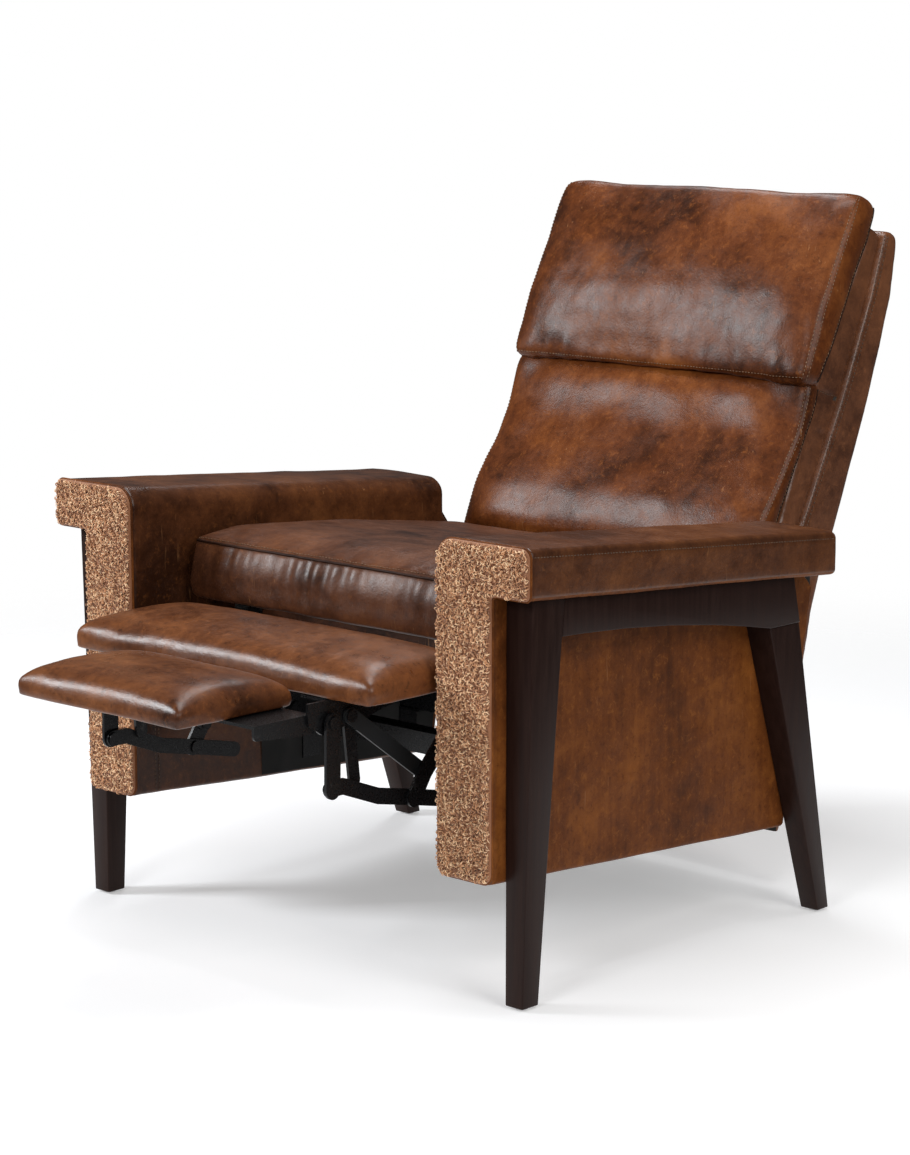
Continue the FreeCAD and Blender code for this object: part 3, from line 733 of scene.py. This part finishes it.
def inwardOf(ring):
    # the direction into the ring at each of its points
    result = []
    for i in range(len(ring)):
        along = (ring[(i + 1) % len(ring)] - ring[i - 1]).normalized()
        result.append(Vector((along.y, -along.x)))
    return result


def armCover(name, side):
    ring = armSection()
    n = len(ring)
    inward = inwardOf(ring)
    span = arm["padRearY"] - arm["frontY"]
    stations = [(t / (span / arm["spacing"]), 0, 0) for t in range(int(span / arm["spacing"]))]
    radius = arm["rearRound"]
    stations.append(((span - radius) / span, 0, 0))
    for k in range(1, 7):
        angle = k / 6 * math.pi / 2
        stations.append(((span - radius) / span, radius * math.sin(angle), radius * (1 - math.cos(angle))))
    verts = []
    bottom, under, top = arm["low"][0], arm["under"][0], arm["top"][0]
    for share, beyond, inset in stations:
        for p, inner in zip(ring, inward):
            x, z = p.x + inner.x * inset, p.y + inner.y * inset
            lowShare = min(max((z - bottom) / (under - bottom), 0), 1)
            rear = arm["sideLowY"] + (arm["sideTopY"] - arm["sideLowY"]) * lowShare
            if z > under - arm["turnDepth"]:
                rear = arm["padRearY"] + (rear - arm["padRearY"]) * max(0, (under - z) / arm["turnDepth"])
            y = arm["frontY"] + (rear - arm["frontY"]) * share + beyond
            if z <= under:
                low, high = armHeight("low", y), armHeight("under", y)
                height = low + (high - low) * (z - bottom) / (under - bottom)
            else:
                low, high = armHeight("under", y), armHeight("top", y)
                height = low + (high - low) * (z - under) / (top - under)
            verts.append(at(x * side, y, height))
    faces = [list(range(n))[::side], list(range(len(verts) - n, len(verts)))[::-side]]
    for s in range(len(stations) - 1):
        for i in range(n):
            j = (i + 1) % n
            faces.append([s * n + i, (s + 1) * n + i, (s + 1) * n + j, s * n + j][::-side])
    piece = newPiece(name, verts, faces)
    faceOutwards(piece)
    co = points(piece)
    inside = co[:, 1] > armFrontLine + 4 * mm
    bump = wave(co, 170, 11 + side) * arm["unevenness"] * mm
    co = co + normals(piece) * (bump * inside)[:, None]
    middle = (arm["innerX"] + arm["edgeX"]) / 2 * mm
    onTop = (normals(piece)[:, 2] > 0.8) & inside
    across = np.clip(1 - ((np.abs(co[:, 0]) - middle) / (arm["crownHalf"] * mm)) ** 2, 0, 1)
    co[:, 2] += onTop * across * arm["crown"] * mm
    setPoints(piece, co)
    return piece


armFrontLine = at(0, arm["frontY"], 0)[1]
facing = {"frontY": armFrontY, "depth": 5, "curls": 8200, "curlLength": 5.6, "seed": 7, "round": 15, "rim": 0.4,
          "lip": 3, "weltRadius": 1.7, "sizes": (0.65, 1.35)}


def facingOutline(grow=0):
    g = grow
    bottom, under, top = arm["low"][0], arm["under"][0], arm["top"][0]
    return roundedOutline([(arm["innerX"] - g, bottom - g, facing["round"]), (arm["innerX"] - g, top + g, 26),
                           (arm["edgeX"] + g, top + g, 12), (arm["edgeX"] + g, under - g, 8),
                           (arm["outerX"] + g, under - g, 5), (arm["outerX"] + g, bottom - g, facing["round"])], 7)


def facingPlate(name, side):
    # the roughout layer: a thin rounded slab that the curls grow from
    ring = facingOutline()
    n = len(ring)
    inward = inwardOf(ring)
    lip = facing["lip"]
    layers = [(0, 0.0)] + [(facing["depth"] - lip + lip * math.sin(a), lip * (1 - math.cos(a)))
                           for a in (k / 4 * math.pi / 2 for k in range(5))]
    verts = []
    for depth, inset in layers:
        for p, inner in zip(ring, inward):
            verts.append(at((p.x + inner.x * inset) * side, facing["frontY"] + facing["depth"] - depth,
                            p.y + inner.y * inset))
    faces = [list(range(n)), list(range(len(verts) - n, len(verts)))]
    for s in range(len(layers) - 1):
        faces += [[s * n + i, (s + 1) * n + i, (s + 1) * n + (i + 1) % n, s * n + (i + 1) % n] for i in range(n)]
    piece = newPiece(name, verts, faces)
    faceOutwards(piece)
    return piece


def curlMesh():
    # one curl of raised fibre: a bent tapering strand
    sidesAround, spans = 3, 3
    verts, faces = [], []
    for k in range(spans + 1):
        t = k / spans
        angle = t * 1.7
        centre = Vector((math.sin(angle) * 0.58 - 0.25, (1 - math.cos(angle)) * 0.58 - 0.3,
                         0.10 + 0.30 * math.sin(t * math.pi)))
        thick = 0.115 * (1 - 0.55 * abs(2 * t - 1) ** 2)
        outward = Vector((math.cos(angle + math.pi / 2), math.sin(angle + math.pi / 2), 0))
        for s in range(sidesAround):
            a = s / sidesAround * 2 * math.pi
            verts.append(centre + outward * math.cos(a) * thick + Vector((0, 0, math.sin(a) * thick)))
    for k in range(spans):
        for s in range(sidesAround):
            j = (s + 1) % sidesAround
            faces.append([k * sidesAround + s, k * sidesAround + j,
                          (k + 1) * sidesAround + j, (k + 1) * sidesAround + s])
    faces += [[2, 1, 0], [spans * sidesAround + s for s in range(sidesAround)]]
    piece = newPiece("curlStrand", verts, faces)
    faceOutwards(piece)
    return piece


def curlTree(strand):
    tree, source = openTree("curledHide", [
        ("Curls per square metre", "NodeSocketFloat", 80000.0),
        ("Curl size", "NodeSocketFloat", facing["curlLength"] * mm),
        ("Seed", "NodeSocketInt", facing["seed"])], "Hide")
    scatter = addNode(tree, "GeometryNodeDistributePointsOnFaces",
                      {"Mesh": source.outputs["Geometry"], "Density": source.outputs["Curls per square metre"],
                       "Seed": source.outputs["Seed"]})
    spin = addNode(tree, "FunctionNodeRandomValue", {"Seed": source.outputs["Seed"]}, data_type="FLOAT")
    spin.inputs[2].default_value, spin.inputs[3].default_value = -math.pi, math.pi
    turned = addNode(tree, "FunctionNodeRotateRotation", {"Rotation": scatter.outputs["Rotation"]},
                     rotation_space="LOCAL")
    lift = addNode(tree, "ShaderNodeCombineXYZ", {"Z": spin.outputs[1]})
    asTurn = addNode(tree, "FunctionNodeEulerToRotation", {"Euler": lift.outputs["Vector"]})
    tree.links.new(asTurn.outputs["Rotation"], turned.inputs["Rotate By"])
    grow = addNode(tree, "FunctionNodeRandomValue", {"Seed": 21}, data_type="FLOAT")
    grow.inputs[2].default_value, grow.inputs[3].default_value = facing["sizes"]
    size = addNode(tree, "ShaderNodeMath", {0: grow.outputs[1], 1: source.outputs["Curl size"]}, operation="MULTIPLY")
    strandInfo = addNode(tree, "GeometryNodeObjectInfo")
    strandInfo.inputs["Object"].default_value = strand
    tint = addNode(tree, "FunctionNodeRandomValue", {"Seed": 5}, data_type="FLOAT")
    place = addNode(tree, "GeometryNodeInstanceOnPoints",
                    {"Points": scatter.outputs["Points"], "Instance": strandInfo.outputs["Geometry"],
                     "Rotation": turned.outputs["Rotation"], "Scale": size.outputs["Value"]})
    store = addNode(tree, "GeometryNodeStoreNamedAttribute",
                    {"Geometry": place.outputs["Instances"], "Name": "curlTint", "Value": tint.outputs[1]},
                    data_type="FLOAT", domain="INSTANCE")
    closeTree(tree, store.outputs["Geometry"], source.outputs["Hide"])
    return tree


def growCurls(name, base, tree, seed):
    holder = base.copy()
    holder.data = base.data.copy()
    scene.collection.objects.link(holder)
    mesh = bmesh.new()
    mesh.from_mesh(holder.data)
    bmesh.ops.delete(mesh, geom=[f for f in mesh.faces if f.normal.y > -0.98], context="FACES")
    rim = bmesh.ops.inset_region(mesh, faces=mesh.faces[:], thickness=facing["rim"] * mm)
    bmesh.ops.delete(mesh, geom=rim["faces"], context="FACES")
    mesh.to_mesh(holder.data)
    area = sum(f.calc_area() for f in mesh.faces)
    mesh.free()
    modifier = holder.modifiers.new("curls", "NODES")
    modifier.node_group = tree
    setInput(modifier, "Curls per square metre", facing["curls"] / area)
    setInput(modifier, "Seed", seed)
    setInput(modifier, "Hide", finish["curl"])
    return plainPiece(name, holder)


def makeArms():
    strand = curlMesh()
    tree = curlTree(strand)
    for name, side in sides.items():
        cover = armCover(f"armCover_{name}", side)
        edge = [at((arm["edgeX"] + 1) * side, y, armHeight("top", y) - arm["seamDrop"])
                for y in range(*arm["seamY"], 8)]
        upright = [at((arm["innerX"] - 1) * side, arm["innerSeamY"], z) for z in range(*arm["innerSeamZ"], 8)]
        press(cover, edge, 1.3, 2.6)
        press(cover, upright, 1.2, 2.6)
        shade(cover, [edge, upright], 3.5)
        dress(cover, "arm")
        cover.data.materials.append(finish["side"])
        for polygon in cover.data.polygons:
            underside = armHeight("under", (polygon.center.y - chairShift) / mm) * mm + 0.004
            if polygon.center.z < underside and abs(polygon.center.x) > (arm["outerX"] - 12) * mm:
                polygon.material_index = 1  # the outer side wears the side leather
        settle(cover, "base", None, [f"arm_pad_{name}", f"arm_side_{name}"])
        rows = [seamOn(cover, [Vector(p) - Vector((0, 0, arm["stitchDrop"] * mm)) for p in edge])]
        rows += [seamOn(cover, upright, (0, dy, 0)) for dy in (-3.2, 3.2)]
        stitchRows(f"armStitching_{name}", rows, "base", thread="darkThread")
        plate = facingPlate(f"facingHide_{name}", side)
        settle(plate, "base", "curl", [f"arm_facing_{name}"])
        curls = growCurls(f"facingCurls_{name}", plate, tree, facing["seed"] + side)
        settle(curls, "base", None)
        ring = [at(p.x * side, facing["frontY"] + facing["depth"] - 0.4, p.y) for p in facingOutline(0.2)]
        welt(f"facingWelt_{name}", ring + ring[:1], facing["weltRadius"], "base", "side")
    bpy.data.objects.remove(strand)


makeArms()
print("arms ready")


# the wood frames: the CAD shapes with their edges eased

wood = {
    "edge": 1.6, "pieces": {"front_leg": "woodFrontLeg", "rear_leg": "woodRearLeg", "top_rail": "woodTopRail"},
    "flatWithin": 1.2, "easeAbove": 30, "sharpAbove": 35,
}


def eased(node, name):
    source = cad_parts[node]
    mesh = bmesh.new()
    mesh.from_mesh(source.data)
    bmesh.ops.remove_doubles(mesh, verts=mesh.verts, dist=0.00002)
    bmesh.ops.dissolve_limit(mesh, angle_limit=math.radians(wood["flatWithin"]), verts=mesh.verts, edges=mesh.edges)
    data = bpy.data.meshes.new(name)
    mesh.to_mesh(data)
    mesh.free()
    piece = bpy.data.objects.new(name, data)
    scene.collection.objects.link(piece)
    bevel = piece.modifiers.new("eased", "BEVEL")
    bevel.width = wood["edge"] * mm
    bevel.segments = 3
    bevel.limit_method = "ANGLE"
    bevel.angle_limit = math.radians(wood["easeAbove"])
    bevel.harden_normals = False
    bake(piece)
    piece.data.polygons.foreach_set("use_smooth", [True] * len(piece.data.polygons))
    piece.data.set_sharp_from_angle(angle=math.radians(wood["sharpAbove"]))
    return piece


for name in sides:
    for node, label in wood["pieces"].items():
        piece = eased(f"{node}_{name}", f"{label}_{name}")
        settle(piece, "base", "wood", [f"{node}_{name}"])
print("wood ready")


# the seat cushion

seat = {
    "halfWidth": 271, "edge": 12, "voxel": 6,
    "outline": [(-209, 417, 14), (-189, 500, 6), (-120, 505, 100), (60, 490, 300), (326, 453, 18), (322, 408, 14)],
    "inflate": {"holdWidth": 7, "stiffness": 6, "bending": 0.6, "pressure": 2.0, "slack": 0.01, "frames": 16, "cap": 8,
                "restsBelow": True, "smoothing": 14},
    "seamDepth": 3.4, "sideSeamDepth": 2.2, "seamWidth": 4.5, "wrinkle": 2.3, "wrinkleSpacing": 30,
    "unevenness": 1.4, "fill": 0.75, "weltRadius": 2.0,
    "frontSeam": (-191, 498), "seamCorner": (-184, 497), "sideSeam": ([-184, -120, 60, 310], [497, 500, 486, 454]),
}


def ruffle(piece, where, direction, spacing, depth, seed):
    # short gathers that run along a direction and fade away from a line
    co = points(piece)
    rng = np.random.default_rng(seed)
    side = co @ np.array(direction)
    total = np.zeros(len(co))
    for k in range(5):
        wavelength = spacing * rng.uniform(0.7, 1.5) * mm
        drift = 0.35 * np.sin(co[:, 2] * rng.uniform(20, 50) + rng.uniform(0, 6))
        total += np.sin(side / wavelength * 2 * math.pi + rng.uniform(0, 6) + drift) * rng.uniform(0.4, 1)
    gate = 0.5 + 0.5 * wave(co, 150, seed + 1)
    setPoints(piece, co + normals(piece) * (total / 2.5 * depth * mm * where * np.clip(gate, 0, 1))[:, None])


def seatCushion():
    half = seat["halfWidth"]
    piece = block("seatCushion", seat["outline"], -half, half, seat["edge"], seat["voxel"])
    front = [at(x, *seat["frontSeam"]) for x in range(-half + 2, half - 1, 12)]
    front[0], front[-1] = at(-half, *seat["seamCorner"]), at(half, *seat["seamCorner"])
    flanks = [[at(s * half, y, np.interp(y, *seat["sideSeam"])) for y in range(seat["seamCorner"][0], 300, 12)]
              for s in (-1, 1)]
    inflate(piece, [front] + flanks, seat["inflate"])
    co = points(piece)
    setPoints(piece, co + normals(piece) * (wave(co, 210, 31) * seat["unevenness"] * mm)[:, None])
    subdivide(piece)
    co = points(piece)
    y = (co[:, 1] - chairShift) / mm
    z = co[:, 2] / mm
    onFront = np.clip((-170 - y) / 15, 0, 1) * np.clip((z - 425) / 25, 0, 1)
    band = np.clip(1.25 - np.abs(z - 470) / 55, 0, 1)
    ruffle(piece, onFront * band, (1, 0, 0), seat["wrinkleSpacing"], seat["wrinkle"], 5)
    press(piece, front, seat["seamDepth"], seat["seamWidth"])
    for line in flanks:
        press(piece, line, seat["sideSeamDepth"], seat["seamWidth"])
    shade(piece, [front] + flanks, seat["seamWidth"])
    settle(piece, "seat", "seat", ["seat_cushion"])
    rows = [seamOn(piece, front, (0, 4.6, 1.2))] + [seamOn(piece, line, (0, 0, 4)) for line in flanks]
    stitchRows("seatStitching", rows, "seat")
    cord = seamOn(piece, front, (0, -1.2, -1.0), 0.2)
    welt("seatWelt", cord, seat["weltRadius"], "seat", "piping")


seatCushion()
print("seat ready")


# the back: headrest and lumbar pillows, the gusset behind them, the outer shell

pillow = {
    "edge": 13, "voxel": 5.5, "stitchIn": 5, "piping": 1.5, "gatherReach": 0.040, "gatherSpacing": 44,
    "gatherDepth": 1.7, "frontSeam": (2.6, 4.5), "rearSeam": (1.6, 4),
    "headrest": {
        "span": (-268, 274),
        "outline": [(434, 694, 14), (472, 788, 60), (556, 950, 14), (608, 929, 10), (594, 899, 6),
                    (470, 676, 10)],
        "front": [(435, 694), (474, 790), (522, 882), (557, 951)],
        "rear": [(467, 690), (594, 899), (606, 924)],
        "inflate": {"holdWidth": 8, "stiffness": 5, "bending": 0.5, "pressure": 4.0, "slack": 0.02,
                    "frames": 20, "cap": 22, "smoothing": 30},
    },
    "lumbar": {
        "span": (-271, 270),
        "outline": [(318, 428, 16), (356, 516, 50), (430, 622, 50), (456, 703, 12), (490, 692, 8), (470, 640),
                    (397, 507), (370, 430, 10)],
        "front": [(316, 428), (354, 514), (431, 622), (457, 704)],
        "rear": [(371, 432), (397, 507), (480, 650), (484, 680)],
        "inflate": {"holdWidth": 8, "stiffness": 5, "bending": 0.5, "pressure": 3.2, "slack": 0.015,
                    "frames": 20, "cap": 16, "smoothing": 30},
    },
}


def spread(line, step=8):
    # a (y, z) polyline with even points
    result = []
    for p, q in zip(line, line[1:]):
        p, q = Vector(p), Vector(q)
        count = max(1, int((q - p).length / step))
        result += [p.lerp(q, k / count) for k in range(count)]
    return result + [Vector(line[-1])]


def makePillow(name, node, seed, low, high):
    # low and high are the front panel's bottom and top corners
    form = pillow[name]
    ends = form["span"]
    piece = block(f"{name}Pillow", form["outline"], *ends, pillow["edge"], pillow["voxel"])
    flanks = [[at(x, p.x, p.y) for p in spread(form["front"])] for x in ends]
    rears = [[at(x, p.x, p.y) for p in spread(form["rear"])] for x in ends]
    bottom = [at(x, *low) for x in np.linspace(*ends, 46)]
    top = [at(x, *high) for x in np.linspace(*ends, 46)]
    seams = flanks + rears + [bottom, top]
    inflate(piece, seams, form["inflate"])
    co = points(piece)
    swell = wave(co, 330, seed) * 3.0 + wave(co, 120, seed + 7) * 1.1
    setPoints(piece, co + normals(piece) * (swell * mm)[:, None])
    subdivide(piece)
    co = points(piece)
    near = np.exp(-(pathDistance(co, bottom) / pillow["gatherReach"]) ** 2) * (normals(piece)[:, 1] < 0.1)
    ruffle(piece, near, (1, 0, 0), pillow["gatherSpacing"], pillow["gatherDepth"], seed + 3)
    for line in flanks + [bottom]:
        press(piece, line, *pillow["frontSeam"])
    for line in rears + [top]:
        press(piece, line, *pillow["rearSeam"])
    shade(piece, seams, 4)
    settle(piece, "back", "cushion", [node])
    inward = pillow["stitchIn"]
    rows = []
    for s, line in zip((-1, 1), flanks):
        rows.append(seamOn(piece, line, (-s * inward, -1.5, 1)))
        rows.append(seamOn(piece, line, (0, inward, -1.5)))
    rows.append(seamOn(piece, bottom[1:-1], (0, 2, 4.5)))
    for line in rears:
        rows.append(seamOn(piece, line[2:-2], (0, -5, 2)))
    stitchRows(f"{name}Stitching", rows, "back")
    for label, line in zip(("right", "left"), rears):
        welt(f"{name}Piping_{label}", seamOn(piece, line, (0, 0, 0), 0.4), pillow["piping"], "back", "piping")


makePillow("headrest", "headrest_cushion", 41, (436, 694), (557, 951))
makePillow("lumbar", "lumbar_cushion", 52, (319, 430), (457, 704))
print("pillows ready")

shell = {
    "halfWidth": 271, "edge": 5.5, "voxel": 4.4,
    "outline": [(619, 889, 9), (587, 798), (529, 668), (442, 499), (423, 446, 8), (458, 424), (441, 312), (393, 74, 3),
                (404, 71, 3), (453, 312), (467, 375, 40), (485, 424, 40), (517, 486), (580, 632), (614, 729, 80),
                (635, 794), (648, 882, 14)],
    "seam": [(620, 880), (593, 798), (535, 668), (448, 499), (430, 452)],
    "gusset": [(598, 897, 6), (480, 694, 12), (472, 668, 12), (405, 509, 10), (378, 456, 8), (432, 448, 6),
               (456, 499), (543, 668), (601, 798), (626, 880, 6)],
    "gussetHalf": 261, "seamPress": (1.2, 3.2), "creasePress": (2.6, 4), "stitchGap": 2.8, "linerBelow": 0.425,
    "creases": [[(466, 680), (500, 668), (531, 660)], [(482, 620), (500, 611)]],
}


def makeShell():
    half = shell["halfWidth"]
    piece = block("backShell", shell["outline"], -half, half, shell["edge"], shell["voxel"], 5)
    co = points(piece)
    setPoints(piece, co + normals(piece) * (wave(co, 260, 61) * 1.0 * mm)[:, None])
    seams = [[at(s * half, p.x, p.y) for p in spread(shell["seam"])] for s in (-1, 1)]
    for line in seams:
        press(piece, line, *shell["seamPress"])
    shade(piece, seams, 3.5)
    dress(piece, "shell")
    piece.data.materials.append(finish["liner"])
    for polygon in piece.data.polygons:
        if polygon.center.z < shell["linerBelow"] and polygon.normal.y < -0.5:
            polygon.material_index = 1  # black cloth on the lower inside
    settle(piece, "back", None, ["back_skin", "back_side_cover_left", "back_side_cover_right"])
    gap = shell["stitchGap"]
    rows = [seamOn(piece, line, (0, d, -d * 0.5)) for line in seams for d in (-gap, gap)]
    stitchRows("backStitching", rows, "back", thread="darkThread")
    half = shell["gussetHalf"]
    gusset = block("backGusset", shell["gusset"], -half, half, 5, 6, 3)
    creases = [[at(s * half, y, z) for y, z in crease] for s in (-1, 1) for crease in shell["creases"]]
    co = points(gusset)
    setPoints(gusset, co + normals(gusset) * (wave(co, 120, 71) * 1.6 * mm)[:, None])
    for line in creases:
        press(gusset, line, *shell["creasePress"])
    shade(gusset, creases, 4)
    settle(gusset, "back", "shell")
    stitchRows("gussetStitching", [seamOn(gusset, creases[k], (0, 0, 3.4)) for k in (0, 2)], "back",
               thread="darkThread")


makeShell()
print("shell ready")


# the footrest: two boxed pads

pads = {
    "footrest": {"halfWidth": 270, "front": -399, "rear": -202, "low": 376.5, "edge": 32, "crown": 15,
                 "body": "footrest", "seed": 81, "nodes": ["footrest_cushion", "footrest_board"]},
    "frontPad": {"halfWidth": 149.5, "front": -594.5, "rear": -402.5, "low": 362.5, "edge": 27, "crown": 15,
                 "body": "front_pad", "seed": 91, "nodes": ["front_pad_cushion", "front_pad_board"]},
}
padForm = {"round": 8, "voxel": 4.5, "corner": 6, "seamDepth": 1.8, "seamWidth": 3, "flatBelow": 12,
           "inflate": {"holdWidth": 6, "stiffness": 8, "bending": 1.0, "pressure": 2.0, "slack": 0.005, "frames": 12,
                       "cap": 4, "restsBelow": True, "smoothing": 20}}


def makePad(name, form):
    half, y0, y1, low, edge = form["halfWidth"], form["front"], form["rear"], form["low"], form["edge"]
    top = low + edge
    piece = block(f"{name}Pad", [(y0, low, 3), (y0 + 1.5, top, padForm["round"]), (y1 - 1.5, top, padForm["round"]),
                                 (y1, low, 3)], -half, half, padForm["corner"], padForm["voxel"], 4)
    co = points(piece)
    x = co[:, 0] / mm / half
    y = ((co[:, 1] - chairShift) / mm - (y0 + y1) / 2) / ((y1 - y0) / 2)
    flat = padForm["flatBelow"]
    height = np.clip((co[:, 2] / mm - low - flat) / (edge - flat), 0, 1)
    rise = np.clip(1 - x ** 6, 0, 1) ** 0.7 * np.clip(1 - np.abs(y) ** 2.6, 0, 1) ** 0.8
    co[:, 2] += height * rise * form["crown"] * mm
    setPoints(piece, co)
    corners = [[at(sx * (half - 1), yy, z) for z in np.arange(low + 1, top + 2, 3.0)]
               for sx in (-1, 1) for yy in (y0 + 1, y1 - 1)]
    inflate(piece, corners, padForm["inflate"])
    co = points(piece)
    setPoints(piece, co + normals(piece) * (wave(co, 150, form["seed"]) * 0.9 * mm)[:, None])
    subdivide(piece)
    for line in corners:
        press(piece, line, padForm["seamDepth"], padForm["seamWidth"])
    shade(piece, corners, 3.2)
    settle(piece, form["body"], "pad", form["nodes"])


for name, form in pads.items():
    makePad(name, form)
print("footrest ready")


# black cloth on the arms' inner sides and under the seat, leather over the front rail

cloths = {
    "armLining": {"frontY": -60, "rearY": 292, "low": 128, "high": 402, "x": 276.2},
    "seatUnderCloth": {"half": 203, "frontY": -118, "rearY": 306, "z": 380.5},
    "seatApron": {"low": 381, "high": 418, "gap": 0.9},
}


def grid(name, corners, across, along):
    a, b, c, d = corners
    verts, faces = [], []
    for j in range(along + 1):
        for i in range(across + 1):
            s, t = i / across, j / along
            verts.append(a * (1 - s) * (1 - t) + b * s * (1 - t) + c * s * t + d * (1 - s) * t)
    for j in range(along):
        for i in range(across):
            k = j * (across + 1) + i
            faces.append([k, k + 1, k + across + 2, k + across + 1])
    return newPiece(name, verts, faces)


def makeCloths():
    lining = cloths["armLining"]
    y0, y1, low, high = lining["frontY"], lining["rearY"], lining["low"], lining["high"]
    for name, side in sides.items():
        x = lining["x"] * side
        corners = [at(x, y0, armHeight("low", y0) + 4), at(x, y1 - 14, armHeight("low", y1) + 6), at(x, y1 + 24, high),
                   at(x, y0, high)]
        piece = grid(f"armLining_{name}", corners[::-side], 24, 18)
        co = points(piece)
        co[:, 0] += wave(co, 130, 3) * 0.5 * mm
        setPoints(piece, co)
        settle(piece, "base", "liner")
    under = cloths["seatUnderCloth"]
    h, y0, y1, z = under["half"], under["frontY"], under["rearY"], under["z"]
    piece = grid("seatUnderCloth", [at(-h, y0, z), at(-h, y1, z), at(h, y1, z), at(h, y0, z)], 24, 24)
    settle(piece, "seat", "liner")
    apron = cloths["seatApron"]
    rail = points(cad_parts["seat_front_rail"])
    h = rail[:, 0].max() / mm - 1
    y = (rail[:, 1].min() - chairShift) / mm - apron["gap"]
    low, high = apron["low"], apron["high"]
    piece = grid("seatApron", [at(-h, y, low), at(h, y, low), at(h, y, high), at(-h, y, high)], 40, 3)
    settle(piece, "seat", "seat")


makeCloths()
print("cloths ready")


# finishes for the CAD nodes that stay

finishOf = {
    "foot_glides": "plastic", "webbing": "web", "springs": "brightSteel", "board": "liner", "seat_side_rail": "liner",
    "seat_front_rail": "liner", "seat_rear_rail": "liner", "back_top_rail": "rawWood", "back_lower_rail": "rawWood",
    "stile": "rawWood", "upper_link": "greySteel",
}
for name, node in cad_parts.items():
    kind = next((value for key, value in finishOf.items() if key in name), "steel")
    node.data.materials.clear()
    node.data.materials.append(finish[kind])
print("finishes ready")
